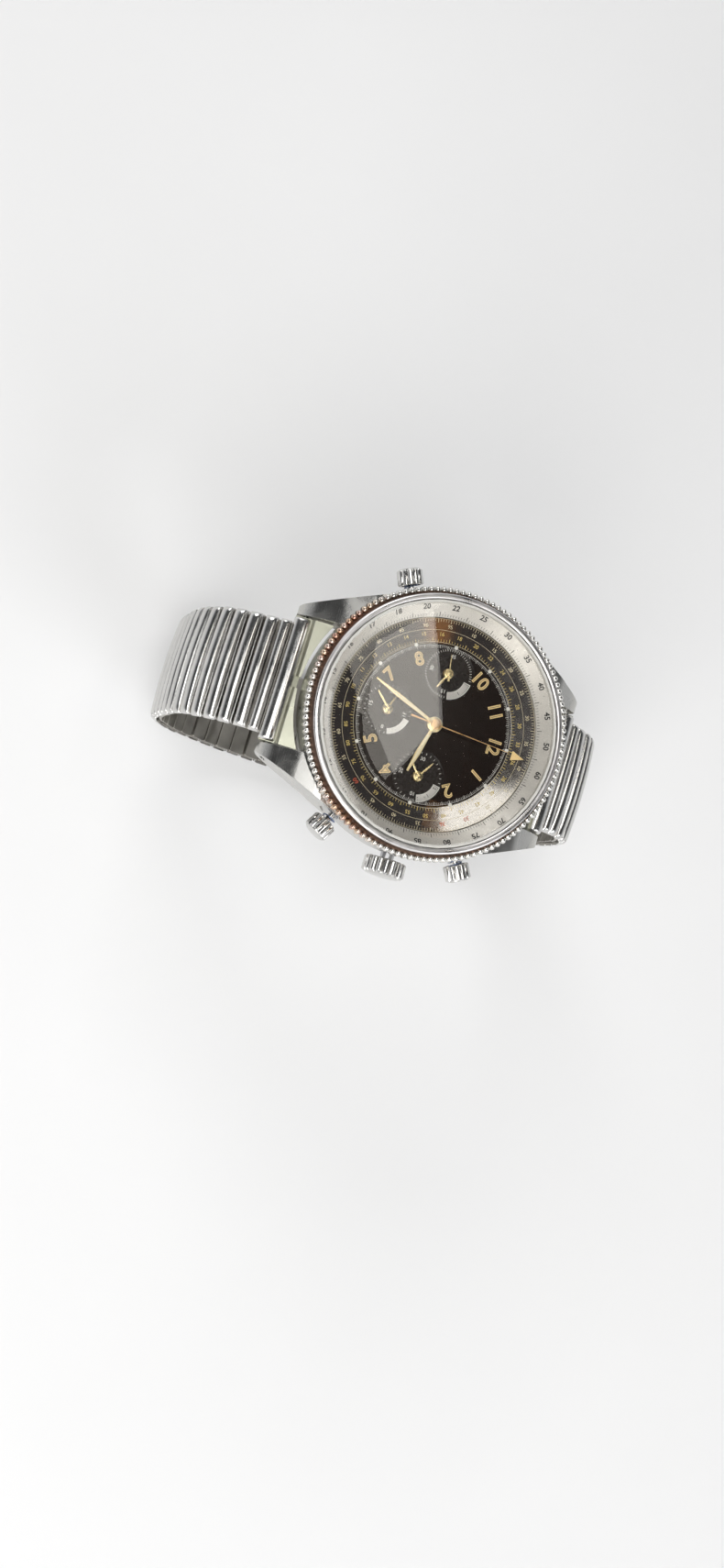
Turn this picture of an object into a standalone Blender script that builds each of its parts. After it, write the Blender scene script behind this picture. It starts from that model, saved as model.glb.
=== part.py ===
"""Wrist chronograph with a calendar, a slide-rule bezel and a spring-loaded expansion bracelet.

Frame: metres, +Z out of the dial, +Y to 12 o'clock, +X to 3 o'clock. The origin is the centre of the
case back's outer face. Sizes below are in millimetres; every mesh is scaled by MM when it is made.
"""

import bisect
import math

import bmesh
import bpy
from mathutils import Matrix, Vector

MM = 0.001
WELD = 1e-7
ROUND = 44  # sides of the large turned parts
SMALL_ROUND = 28
FINE_ROUND = 8  # sides of arbors and pins

# Case, bezel and crystal
CASE_R = 20.4
CASE_BOTTOM = 1.8
CASE_SHOULDER = 9.4
MOVEMENT_BORE_R = 16.0
DIAL_SEAT_R = 16.9
BEZEL_R = 21.0
BEZEL_TEETH = 36
COIN_EDGE_DEPTH = 0.3
CRYSTAL_R = 18.3
DIAL_R = 16.6
DIAL_BOTTOM = 8.6
DIAL_TOP = 9.0
GAP = 0.05  # running gap beside arbors and pins

# Lugs and spring bars
LUG_SPACING = 20.4
LUG_TIP_Y = 23.8
LUG_TIP_X = 11.8
PIVOT_Y = 22.3
PIVOT_Z = 2.4
SPRING_BAR_R = 0.75
SPRING_BAR_TIP_R = 0.4
LUG_HOLE_R = 0.5

# Crown and pushers
STEM_Z = 5.6
STEM_R = 0.45
CROWN_R = 3.3
CROWN_START = 21.45
CROWN_TUBE_R = 1.1
PUSHER_R = 2.0
PUSHER_START = 21.7
PUSHER_END = 24.3
PUSHER_SHAFT_R = 0.5
PUSHER_SEAT = 20.5
PUSHERS = {"start_pusher": 60.0, "reset_pusher": 120.0, "corrector_pusher": 246.0}  # clock angles

# Dial layout: centre of each small dial
SUBDIAL_OFFSET = 8.2
SUBDIALS = {"three": (SUBDIAL_OFFSET, 0.0), "six": (0.0, -7.6), "nine": (-SUBDIAL_OFFSET, 0.0)}
WINDOW_INNER_R = 2.9
WINDOW_OUTER_R = 3.8
WINDOW_ANGLES = (10.0, 75.0)  # clock angles that each calendar window spans

# Movement levels and train
PLATE_BOTTOM, PLATE_TOP = 6.5, 8.1
BRIDGE_BOTTOM, BRIDGE_TOP = 3.2, 4.1
TRAIN_MODULE = 0.19
BARREL_MODULE = 0.17
ESCAPE_MODULE = 0.12
CENTER_TEETH, THIRD_LEAVES = 48, 6
THIRD_TEETH, FOURTH_LEAVES = 45, 6
FOURTH_TEETH, ESCAPE_LEAVES = 60, 6
BARREL_TEETH, CENTER_LEAVES = 60, 10
BARREL_DIRECTION = 60.0
ESCAPE_DIRECTION = -75.0
PALLET_POINT = (-4.64, -4.74)
BALANCE_POINT = (-2.3, -7.5)

# Bracelet: a loop that is a squared ellipse seen along X
LOOP_CENTRE_Z = -17.0
LOOP_HALF_HEIGHT = 23.6
LOOP_HALF_SIX = 37.0
LOOP_HALF_TWELVE = 33.2
LOOP_POWER = 3.0
LOOP_TOP_Y = 17.0
LINK_GROUPS = {"six": 7, "twelve": 6}
BARS_PER_GROUP = 4
END_LINK_LENGTH = 9.95
END_LINK_WIDTH = 19.8
BAND_WIDTH_TOP = 17.8
BAND_WIDTH_BOTTOM = 16.0
BAND_THICKNESS = 2.4
LINK_GAP = 0.16
TONGUE = 2.8
TONGUE_TOP = 1.75
BAR_BOTTOM = 1.45
TONGUE_CLEARANCE = 0.35

STEEL = ("steel", (0.62, 0.62, 0.60), 0.22, 1.0)
BRUSHED = ("brushed_steel", (0.55, 0.55, 0.53), 0.38, 1.0)
GILT = ("gilt", (0.83, 0.66, 0.33), 0.28, 1.0)
BRASS = ("brass", (0.72, 0.56, 0.26), 0.35, 1.0)
SPRING_STEEL = ("spring_steel", (0.30, 0.34, 0.45), 0.3, 1.0)
SILVER = ("silver_print_ground", (0.72, 0.70, 0.66), 0.35, 0.7)
BLACK = ("dial_black", (0.015, 0.014, 0.013), 0.45, 0.0)
WHITE = ("disc_white", (0.85, 0.84, 0.80), 0.5, 0.0)
GLASS = ("crystal", (0.95, 0.97, 0.97), 0.02, 0.0)
RUBBER = ("gasket", (0.05, 0.05, 0.05), 0.7, 0.0)


def material(spec):
    name, colour, roughness, metallic = spec
    found = bpy.data.materials.get(name)
    if found:
        return found
    made = bpy.data.materials.new(name)
    made.use_nodes = True
    shader = made.node_tree.nodes["Principled BSDF"]
    shader.inputs["Base Color"].default_value = (*colour, 1.0)
    shader.inputs["Roughness"].default_value = roughness
    shader.inputs["Metallic"].default_value = metallic
    return made


def place(name, bm):
    """Links the bmesh as an object, with its normals pointing out."""
    bmesh.ops.recalc_face_normals(bm, faces=bm.faces)
    mesh = bpy.data.meshes.new(name)
    bm.to_mesh(mesh)
    bm.free()
    mesh.shade_smooth()
    mesh.set_sharp_from_angle(angle=math.radians(30))
    obj = bpy.data.objects.new(name, mesh)
    bpy.context.scene.collection.objects.link(obj)
    return obj


def node(name, bm, spec):
    obj = place(name, bm)
    obj.data.materials.append(material(spec))
    return obj


def combine(obj, operation, *shapes):
    """Cuts the shapes from obj, or joins them to it, with Boolean modifiers and hidden helpers."""
    for shape in shapes:
        count = len(obj.modifiers)
        helper = place(f"{obj.name}_{operation.lower()}_{count}", shape)
        helper.parent = obj
        helper.hide_render = True
        helper.display_type = "WIRE"
        modifier = obj.modifiers.new(f"{operation.lower()}_{count}", "BOOLEAN")
        modifier.operation = operation
        modifier.object = helper
    return obj


def cut(obj, *shapes):
    return combine(obj, "DIFFERENCE", *shapes)


def join(obj, *shapes):
    return combine(obj, "UNION", *shapes)


def clock_point(angle, radius):
    """A point on the dial at a clock angle in degrees, 0 at 12 o'clock and 90 at 3 o'clock."""
    turned = math.radians(angle)
    return radius * math.sin(turned), radius * math.cos(turned)


def circle(radius, sides, centre=(0.0, 0.0)):
    """Corners lie half a step off those of a turned part, so a bore never meets an edge."""
    step = 2 * math.pi / sides
    angles = [(i + 0.5) * step for i in range(sides)]
    return [(centre[0] + radius * math.cos(a), centre[1] + radius * math.sin(a)) for a in angles]


def lathe(profile, sides=ROUND, centre=(0.0, 0.0)):
    """A (radius, height) outline turned about Z. It closes itself unless it starts and ends on the axis."""
    bm = bmesh.new()
    points = [bm.verts.new((r * MM, 0, z * MM)) for r, z in profile]
    edges = [bm.edges.new(pair) for pair in zip(points, points[1:])]
    if profile[0][0] > 0 or profile[-1][0] > 0:
        edges.append(bm.edges.new((points[-1], points[0])))
    bmesh.ops.spin(
        bm,
        geom=points + edges,
        axis=(0, 0, 1),
        cent=(0, 0, 0),
        angle=2 * math.pi,
        steps=sides,
        use_merge=True,
    )
    bmesh.ops.remove_doubles(bm, verts=bm.verts, dist=WELD)
    bmesh.ops.translate(bm, vec=(centre[0] * MM, centre[1] * MM, 0), verts=bm.verts)
    return bm


def prism(outline, low, high):
    """A flat (x, y) outline extruded along Z."""
    bm = bmesh.new()
    face = bm.faces.new([bm.verts.new((x * MM, y * MM, low * MM)) for x, y in outline])
    grown = bmesh.ops.extrude_face_region(bm, geom=[face])["geom"]
    top = [item for item in grown if isinstance(item, bmesh.types.BMVert)]
    bmesh.ops.translate(bm, vec=(0, 0, (high - low) * MM), verts=top)
    bmesh.ops.recalc_face_normals(bm, faces=bm.faces)
    return bm


def rod(radius, low, high, centre=(0.0, 0.0), sides=FINE_ROUND):
    return prism(circle(radius, sides, centre), low, high)


def turned(bm, matrix):
    bmesh.ops.transform(bm, matrix=matrix, verts=bm.verts)
    return bm


def along_x(bm, height=0.0):
    """Turns a shape built along +Z to run along +X at a height above the case back."""
    return turned(bm, Matrix.Translation((0, 0, height * MM)) @ Matrix.Rotation(math.pi / 2, 4, "Y"))


def to_clock(bm, angle):
    """Swings a shape built along +X round the watch to a clock angle."""
    return turned(bm, Matrix.Rotation(math.radians(90 - angle), 4, "Z"))


def across(outline, width):
    """A (y, z) outline extruded along X to both sides of the middle."""
    bm = prism(outline, -width / 2, width / 2)
    return turned(bm, Matrix(((0, 0, 1, 0), (1, 0, 0, 0), (0, 1, 0, 0), (0, 0, 0, 1))))


# ---------------------------------------------------------------- case


def lug(side_x, side_y):
    """One lug: its plan outline cut to its side outline."""
    inner = LUG_SPACING / 2
    plan = [(inner, 10.0), (inner, LUG_TIP_Y), (LUG_TIP_X, LUG_TIP_Y), (18.2, 9.2), (16.5, 6.0)]
    side = [
        (6.0, 8.9), (14.0, 8.6), (18.5, 7.0), (21.8, 4.9), (23.3, 3.4),
        (23.9, 1.9), (23.3, 0.7), (20.5, 0.9), (15.0, 2.2), (6.0, 2.6),
    ]
    body = turned(prism(plan, -1.0, 10.0), Matrix.Diagonal((side_x, side_y, 1, 1)))
    trim = turned(across(side, 60.0), Matrix.Diagonal((1, side_y, 1, 1)))
    shape = cut_to(body, trim)
    return shape


def cut_to(body, trim):
    """The part of body that lies in trim, as a new bmesh."""
    whole = place("lug_body", body)
    limit = place("lug_trim", trim)
    modifier = whole.modifiers.new("trim", "BOOLEAN")
    modifier.operation = "INTERSECT"
    modifier.object = limit
    bm = bmesh.new()
    bm.from_object(whole, bpy.context.evaluated_depsgraph_get())
    for helper in (whole, limit):
        bpy.data.objects.remove(helper)
    return bm


def make_case():
    profile = [
        (15.0, CASE_BOTTOM), (18.4, CASE_BOTTOM), (19.9, 3.2), (CASE_R, 4.6), (CASE_R, 9.1),
        (20.1, CASE_SHOULDER), (19.1, CASE_SHOULDER), (19.1, 10.5), (18.35, 10.5),
        (18.35, 9.55), (15.0, 9.55),
    ]
    case = node("case_middle", lathe(profile), BRUSHED)
    join(case, *[lug(x, y) for x in (1, -1) for y in (1, -1)])
    cut(case, rod(MOVEMENT_BORE_R, 0.5, 8.4, sides=ROUND), rod(DIAL_SEAT_R, 8.3, 12.0, sides=ROUND))
    cut(case, along_x(rod(CROWN_TUBE_R + 0.15, 14.0, 22.0, sides=16), STEM_Z))
    for angle in PUSHERS.values():
        bore = along_x(rod(PUSHER_SHAFT_R + 0.1, 14.0, 22.0), STEM_Z)
        seat = along_x(rod(PUSHER_R + 0.25, PUSHER_SEAT, 26.0, sides=20), STEM_Z)
        cut(case, to_clock(bore, angle), to_clock(seat, angle))
    for side in (1, -1):
        hole = rod(LUG_HOLE_R, -11.3, 11.3)
        cut(case, turned(along_x(hole, PIVOT_Z), Matrix.Translation((0, side * PIVOT_Y * MM, 0))))

    back = [
        (0, 0), (16.4, 0), (17.4, 0.6), (17.4, 1.5), (15.7, 1.5),
        (15.7, 2.5), (15.1, 2.5), (15.1, 1.0), (0, 1.0),
    ]
    node("case_back", lathe(back), STEEL)
    seal = [(16.1, 1.55), (16.9, 1.55), (16.9, 1.75), (16.1, 1.75)]
    node("case_back_gasket", lathe(seal, SMALL_ROUND), RUBBER)


def make_bezel():
    profile = [
        (19.5, 9.65), (BEZEL_R, 9.65), (BEZEL_R, 11.7), (19.85, 12.1),
        (19.6, 12.4), (18.85, 12.4), (18.85, 10.75), (19.5, 10.6),
    ]
    bm = lathe(profile, 2 * BEZEL_TEETH)
    for vert in bm.verts:
        step = round(math.atan2(vert.co.y, vert.co.x) / (math.pi / BEZEL_TEETH))
        radius = vert.co.xy.length
        if step % 2 and radius > 20.6 * MM:
            vert.co.xy *= (radius - COIN_EDGE_DEPTH * MM) / radius
    node("bezel", bm, STEEL)
    spring = [(19.16, 9.9), (19.44, 9.9), (19.44, 10.4), (19.16, 10.4)]
    node("bezel_spring_ring", lathe(spring), SPRING_STEEL)
    flange = [(16.35, 9.68), (18.7, 11.05), (18.7, 11.4), (18.6, 11.4), (16.35, 9.9)]
    node("slide_rule_ring", lathe(flange), SILVER)
    crystal = [
        (0, 12.0), (12.0, 11.85), (CRYSTAL_R, 11.5), (CRYSTAL_R, 12.5),
        (14.0, 13.1), (8.0, 13.45), (0, 13.6),
    ]
    node("crystal", lathe(crystal), GLASS)
    seal = [(18.35, 11.5), (18.75, 11.5), (18.75, 12.25), (18.35, 12.25)]
    node("crystal_gasket", lathe(seal), RUBBER)


# ---------------------------------------------------------------- dial and hands


def arc_window(centre):
    """The curved calendar window of one small dial."""
    steps = 6
    span = WINDOW_ANGLES[1] - WINDOW_ANGLES[0]
    angles = [WINDOW_ANGLES[0] + span * i / steps for i in range(steps + 1)]
    edge = [clock_point(a, WINDOW_OUTER_R) for a in angles]
    edge += [clock_point(a, WINDOW_INNER_R) for a in reversed(angles)]
    return prism([(centre[0] + x, centre[1] + y) for x, y in edge], 8.0, 10.0)


def make_dial():
    dial = node("dial", rod(DIAL_R, DIAL_BOTTOM, DIAL_TOP, sides=ROUND), BLACK)
    cut(dial, rod(1.2, 8.0, 10.0))
    for centre in SUBDIALS.values():
        cut(dial, rod(0.85, 8.0, 10.0, centre))
    for name, place_name in (("month_disc", "three"), ("weekday_disc", "nine")):
        centre = SUBDIALS[place_name]
        cut(dial, arc_window(centre))
        ring = [(1.2, 8.2), (4.2, 8.2), (4.2, 8.45), (1.2, 8.45)]
        node(name, lathe(ring, 28, centre), WHITE)


def hand_outline(length, tail, root, tip, hub):
    """A tapered hand pointing along +Y, with a round hub and a plain tail."""
    reach = math.sqrt(hub * hub - root * root / 4)
    side = math.degrees(math.atan2(root / 2, reach))
    right = [clock_point(a, hub) for a in (side, 60, 90, 120, 180 - side)]
    left = [(-x, y) for x, y in reversed(right)]
    end = [(root / 2, -tail), (-root / 2, -tail)] if tail > hub else []
    return [(-tip / 2, length), (tip / 2, length)] + right + end + left


def make_hand(name, angle, level, shape, centre=(0.0, 0.0), bore=0.0, pipe=None, cap=None):
    """A hand at a clock angle. bore is its hole, pipe the (radius, low) of a tube below it."""
    low, high = level
    hand = node(name, prism(hand_outline(*shape), low, high), GILT)
    if pipe:
        join(hand, rod(pipe[0], pipe[1], high))
    if cap:
        join(hand, rod(cap[0], high - 0.05, cap[1]))
    if bore:
        cut(hand, rod(bore, low - 5.0, high + 1.0))
    hand.location = (centre[0] * MM, centre[1] * MM, 0)
    hand.rotation_euler.z = -math.radians(angle)
    return hand


def make_hands():
    make_hand("hour_hand", 104.5, (9.65, 9.82), (8.4, 0, 0.75, 0.35, 1.2), bore=0.8, pipe=(1.0, 8.3))
    make_hand("minute_hand", 199.0, (9.98, 10.13), (11.7, 0, 0.75, 0.2, 1.1), bore=0.45, pipe=(0.72, 8.3))
    make_hand(
        "chrono_seconds_hand", 2.0, (10.28, 10.38), (12.6, 4.2, 0.16, 0.12, 0.6),
        pipe=(0.38, 8.3), cap=(0.8, 10.75),
    )
    lower, upper = (9.12, 9.22), (9.36, 9.46)
    for name, angle, at, length in (
        ("month_hand", 231.0, "three", 2.3),
        ("date_hand", 287.0, "six", 2.4),
        ("weekday_hand", 116.0, "nine", 2.8),
    ):
        make_hand(name, angle, lower, (length, 0, 0.42, 0.3, 0.8), SUBDIALS[at], bore=0.5, pipe=(0.7, 8.3))
    for name, angle, at, length in (
        ("thirty_minute_hand", 303.0, "three", 3.2),
        ("twelve_hour_hand", 223.0, "six", 3.3),
    ):
        make_hand(name, angle, upper, (length, 0, 0.4, 0.2, 0.6), SUBDIALS[at], pipe=(0.38, 8.2))
    make_hand("running_seconds_hand", 260.0, upper, (3.0, 1.0, 0.16, 0.12, 0.5), SUBDIALS["nine"])


# ---------------------------------------------------------------- movement


def gear_outline(teeth, module, phase):
    """Plain V teeth: each gap is deeper than the tooth that runs in it."""
    pitch_r = teeth * module / 2
    points = []
    for i in range(2 * teeth):
        radius = pitch_r - 0.9 * module if i % 2 else pitch_r + 0.6 * module
        angle = phase + i * math.pi / teeth
        points.append((radius * math.cos(angle), radius * math.sin(angle)))
    return points


def gear(teeth, module, phase, low, high, centre):
    bm = prism(gear_outline(teeth, module, phase), low, high)
    return turned(bm, Matrix.Translation((centre[0] * MM, centre[1] * MM, 0)))


def meshed_phase(driver_teeth, driver_phase, teeth, direction):
    """The phase that sets a gear's gaps on its driver's teeth. direction points from the driver to it."""
    pitch = 2 * math.pi / driver_teeth
    past_tooth = (direction - driver_phase) % pitch
    return direction + math.pi + past_tooth * driver_teeth / teeth + math.pi / teeth


def third_point():
    """Where the third wheel meshes with both the centre wheel and the fourth pinion."""
    to_centre = TRAIN_MODULE * (CENTER_TEETH + THIRD_LEAVES) / 2
    to_fourth = TRAIN_MODULE * (THIRD_TEETH + FOURTH_LEAVES) / 2
    x = (to_centre**2 - to_fourth**2 + SUBDIAL_OFFSET**2) / (2 * SUBDIAL_OFFSET)
    return -x, math.sqrt(to_centre**2 - x**2)


def direction_to(start, end):
    return math.atan2(end[1] - start[1], end[0] - start[0])


def make_train():
    """Barrel, centre, third, fourth and escape wheels, each in mesh with the next."""
    centre, fourth = (0.0, 0.0), SUBDIALS["nine"]
    third = third_point()
    turn = math.radians(ESCAPE_DIRECTION)
    reach = ESCAPE_MODULE * (FOURTH_TEETH + ESCAPE_LEAVES) / 2
    escape = (fourth[0] + reach * math.cos(turn), fourth[1] + reach * math.sin(turn))
    turn = math.radians(BARREL_DIRECTION)
    reach = BARREL_MODULE * (BARREL_TEETH + CENTER_LEAVES) / 2
    barrel = (reach * math.cos(turn), reach * math.sin(turn))
    arbor = (BRIDGE_TOP + GAP, PLATE_BOTTOM - GAP)

    wheel = node("centre_wheel", gear(CENTER_TEETH, TRAIN_MODULE, 0.0, 4.4, 4.65, centre), BRASS)
    join(wheel, gear(CENTER_LEAVES, BARREL_MODULE, 0.0, 5.05, 5.6, centre), rod(0.35, *arbor, centre))

    phase = meshed_phase(CENTER_LEAVES, 0.0, BARREL_TEETH, direction_to(centre, barrel))
    drum = node("barrel_drum", gear(BARREL_TEETH, BARREL_MODULE, phase, 5.1, 5.4, barrel), BRASS)
    join(drum, rod(4.7, 5.3, 6.4, barrel, 32))
    cut(drum, rod(4.4, 5.35, 7.0, barrel, 32), rod(0.6, 4.0, 7.0, barrel))
    node("mainspring", spiral(0.95, 4.1, 4, 12, 0.22, 5.5, 6.3, barrel), SPRING_STEEL)

    pinion_phase = meshed_phase(CENTER_TEETH, 0.0, THIRD_LEAVES, direction_to(centre, third))
    wheel = node("third_wheel", gear(THIRD_TEETH, TRAIN_MODULE, 0.0, 4.78, 5.0, third), BRASS)
    join(wheel, gear(THIRD_LEAVES, TRAIN_MODULE, pinion_phase, 4.3, 4.85, third))
    join(wheel, rod(0.3, *arbor, third))

    pinion_phase = meshed_phase(THIRD_TEETH, 0.0, FOURTH_LEAVES, direction_to(third, fourth))
    wheel = node("fourth_wheel", gear(FOURTH_TEETH, ESCAPE_MODULE, 0.0, 5.3, 5.5, fourth), BRASS)
    join(wheel, gear(FOURTH_LEAVES, TRAIN_MODULE, pinion_phase, 4.7, 5.4, fourth))
    join(wheel, rod(0.28, BRIDGE_TOP + GAP, 9.3, fourth))

    pinion_phase = meshed_phase(FOURTH_TEETH, 0.0, ESCAPE_LEAVES, direction_to(fourth, escape))
    wheel = node("escape_wheel", escape_wheel(escape), BRASS)
    join(wheel, gear(ESCAPE_LEAVES, ESCAPE_MODULE, pinion_phase, 4.5, 5.6, escape))
    join(wheel, rod(0.22, *arbor, escape))
    return escape


def escape_wheel(centre):
    """Fifteen hooked teeth."""
    points = []
    for i in range(15):
        base = 2 * math.pi * i / 15
        for radius, lead in ((1.35, 0.0), (1.95, 0.22), (1.9, 0.3), (1.35, 0.16)):
            points.append((radius * math.cos(base + lead), radius * math.sin(base + lead)))
    return turned(prism(points, 4.35, 4.6), Matrix.Translation((centre[0] * MM, centre[1] * MM, 0)))


def spiral(inner, outer, turns, per_turn, width, low, high, centre):
    """A flat spring: a strip that winds out from the inner to the outer radius."""
    count = round(turns * per_turn)
    outside, inside = [], []
    for i in range(count + 1):
        angle = 2 * math.pi * i / per_turn
        radius = inner + (outer - inner) * i / count
        for line, offset in ((outside, width / 2), (inside, -width / 2)):
            reach = radius + offset
            line.append((centre[0] + reach * math.cos(angle), centre[1] + reach * math.sin(angle)))
    return prism(outside + inside[::-1], low, high)


def bar_outline(start, end, half_width):
    """A straight bar with round ends between two points."""
    heading = direction_to(start, end)
    points = []
    for point, base in ((end, heading - math.pi / 2), (start, heading + math.pi / 2)):
        for i in range(7):
            angle = base + math.pi * i / 6
            points.append((point[0] + half_width * math.cos(angle), point[1] + half_width * math.sin(angle)))
    return points


def make_escapement():
    fork = node("pallet_fork", prism(bar_outline(PALLET_POINT, (-2.95, -6.6), 0.28), 4.7, 4.9), STEEL)
    arm = [(-5.05, -3.2), (-4.75, -3.15), (-4.45, -4.7), (-5.45, -6.0), (-5.75, -5.8), (-4.9, -4.7)]
    join(fork, prism(arm, 4.65, 4.95), rod(0.22, 4.15, 5.05, PALLET_POINT))

    rim = [(3.4, 5.3), (3.9, 5.3), (3.9, 5.75), (3.4, 5.75)]
    balance = node("balance_wheel", lathe(rim, 32, BALANCE_POINT), GILT)
    spoke = prism([(-3.55, -0.25), (3.55, -0.25), (3.55, 0.25), (-3.55, 0.25)], 5.4, 5.65)
    shift = Matrix.Translation((BALANCE_POINT[0] * MM, BALANCE_POINT[1] * MM, 0))
    join(balance, turned(spoke, shift), rod(0.3, 4.15, 6.4, BALANCE_POINT))
    node("hairspring", spiral(0.5, 2.6, 4, 12, 0.1, 5.9, 6.1, BALANCE_POINT), SPRING_STEEL)


def make_plates():
    plate = node("main_plate", rod(14.9, PLATE_BOTTOM, PLATE_TOP, sides=48), BRASS)
    cut(plate, rod(0.5, 6.0, 9.0, SUBDIALS["nine"]))

    edge_y = -5.4
    start = math.asin(edge_y / 14.6)
    steps = 30
    sweep = math.pi - 2 * start
    arc = [start + sweep * i / steps for i in range(steps + 1)]
    outline = [(14.6 * math.cos(a), 14.6 * math.sin(a)) for a in arc]
    bridge = node("train_bridge", prism(outline, BRIDGE_BOTTOM, BRIDGE_TOP), BRASS)
    for angle in (65.0, 355.0, 290.0):
        join(bridge, rod(0.9, 4.0, PLATE_BOTTOM - GAP, clock_point(angle, 13.4)))
    foot = (-1.5, -12.9)
    cock = node("balance_cock", prism(bar_outline(BALANCE_POINT, foot, 1.5), BRIDGE_BOTTOM, BRIDGE_TOP), BRASS)
    join(cock, rod(0.9, 4.0, PLATE_BOTTOM - GAP, foot))

    ring = [(15.1, 3.2), (15.85, 3.2), (15.85, 8.1), (15.1, 8.1)]
    holder = node("movement_ring", lathe(ring, 48), BRUSHED)
    cut(holder, along_x(rod(0.6, 14.0, 17.0), STEM_Z))


def make_rotor():
    """Half-disc winding weight with a heavy rim, turning on a central post."""
    half = [math.pi + math.pi * i / 20 for i in range(21)]
    web = [(13.7 * math.cos(a), 13.7 * math.sin(a)) for a in half] + [(2.4, 0.8), (-2.4, 0.8)]
    rotor = node("winding_rotor", prism(web, 2.3, 2.6), BRUSHED)
    rim = [(13.8 * math.cos(a), 13.8 * math.sin(a)) for a in half]
    rim += [(11.2 * math.cos(a), 11.2 * math.sin(a)) for a in reversed(half)]
    join(rotor, prism(rim, 1.35, 3.0), rod(1.6, 2.0, BRIDGE_BOTTOM - GAP))


# ---------------------------------------------------------------- crown, pushers, spring bars


def make_crown():
    stem = node("winding_stem", along_x(rod(STEM_R, 12.6, 23.2), STEM_Z), STEEL)
    join(stem, along_x(rod(0.75, 12.7, 13.7), STEM_Z))
    tube = [(0.6, 18.9), (CROWN_TUBE_R, 18.9), (CROWN_TUBE_R, 21.9), (0.6, 21.9)]
    node("crown_tube", along_x(lathe(tube, 12), STEM_Z), STEEL)
    grip = prism(gear_outline(20, 0.31, 0.0), CROWN_START, 23.6)
    crown = node("crown", along_x(grip, STEM_Z), STEEL)
    dome = [(0, 23.4), (3.0, 23.4), (2.95, 23.85), (2.3, 24.15), (0, 24.25)]
    join(crown, along_x(lathe(dome, 20), STEM_Z))
    cut(crown, along_x(rod(1.4, 20.0, 22.8, sides=12), STEM_Z))
    cut(crown, along_x(rod(STEM_R + 2 * GAP, 20.0, 23.3), STEM_Z))


def make_pusher(name, angle):
    cap = [
        (0, PUSHER_END), (1.7, PUSHER_END), (PUSHER_R, PUSHER_END - 0.3),
        (PUSHER_R, PUSHER_START), (1.5, PUSHER_START), (1.5, 23.3), (0, 23.3),
    ]
    pusher = node(name, to_clock(along_x(lathe(cap, 16), STEM_Z), angle), STEEL)
    join(pusher, to_clock(along_x(rod(PUSHER_SHAFT_R, 16.9, 23.6), STEM_Z), angle))
    make_coil(f"{name}_spring", angle)


def make_coil(name, angle):
    """The return spring round a pusher's shaft, from the case flank to the inside of the cap."""
    turns, per_turn = 3, 8
    low, high, radius, wire = 20.65, 23.1, 1.0, 0.12
    count = turns * per_turn
    curve = bpy.data.curves.new(name, "CURVE")
    curve.dimensions = "3D"
    curve.bevel_depth = wire * MM
    curve.bevel_resolution = 0
    curve.use_fill_caps = True
    spline = curve.splines.new("POLY")
    spline.points.add(count)
    frame = Matrix.Rotation(math.radians(90 - angle), 4, "Z")
    for i, point in enumerate(spline.points):
        turn = 2 * math.pi * i / per_turn
        along = low + (high - low) * i / count
        spot = Vector((along, radius * math.cos(turn), STEM_Z + radius * math.sin(turn))) * MM
        point.co = (*(frame @ spot), 1.0)
    coil = bpy.data.objects.new(name, curve)
    coil.data.materials.append(material(SPRING_STEEL))
    bpy.context.scene.collection.objects.link(coil)


def make_spring_bars():
    for name, side in (("six", -1), ("twelve", 1)):
        profile = [
            (0, -10.9), (SPRING_BAR_TIP_R, -10.9), (SPRING_BAR_TIP_R, -9.4), (SPRING_BAR_R, -9.4),
            (SPRING_BAR_R, 9.4), (SPRING_BAR_TIP_R, 9.4), (SPRING_BAR_TIP_R, 10.9), (0, 10.9),
        ]
        bar = along_x(lathe(profile, FINE_ROUND), PIVOT_Z)
        node(f"spring_bar_{name}", turned(bar, Matrix.Translation((0, side * PIVOT_Y * MM, 0))), STEEL)


# ---------------------------------------------------------------- bracelet


class Loop:
    """The bracelet's outer line, from the 6 o'clock lugs round the bottom to the 12 o'clock lugs."""

    def __init__(self, samples=4000):
        begin = self.angle_at(LOOP_TOP_Y, LOOP_HALF_SIX)
        end = self.angle_at(LOOP_TOP_Y, LOOP_HALF_TWELVE)
        start_angle, end_angle = math.pi - begin, 2 * math.pi + end
        step = (end_angle - start_angle) / samples
        self.points = [self.at_angle(start_angle + step * i) for i in range(samples + 1)]
        self.lengths = [0.0]
        for a, b in zip(self.points, self.points[1:]):
            self.lengths.append(self.lengths[-1] + (b - a).length)
        self.total = self.lengths[-1]

    @staticmethod
    def angle_at(reach, half_width):
        return math.acos((reach / half_width) ** (LOOP_POWER / 2))

    @staticmethod
    def at_angle(angle):
        c, s = math.cos(angle), math.sin(angle)
        half = LOOP_HALF_SIX if c < 0 else LOOP_HALF_TWELVE
        y = half * math.copysign(abs(c) ** (2 / LOOP_POWER), c)
        z = LOOP_CENTRE_Z + LOOP_HALF_HEIGHT * math.copysign(abs(s) ** (2 / LOOP_POWER), s)
        return Vector((y, z))

    def on_line(self, s):
        s = min(max(s, 0.0), self.total)
        i = min(bisect.bisect_right(self.lengths, s), len(self.lengths) - 1)
        before, after = self.lengths[i - 1], self.lengths[i]
        return self.points[i - 1].lerp(self.points[i], (s - before) / (after - before))

    def point(self, side, s, depth):
        """(y, z) at a distance s from that side's start, at a depth below the outer line."""
        if side == "twelve":
            s = self.total - s
        ahead = self.on_line(s + 0.05) - self.on_line(s - 0.05)
        inward = Vector((-ahead.y, ahead.x)).normalized()
        return tuple(self.on_line(s) + inward * depth)


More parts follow.
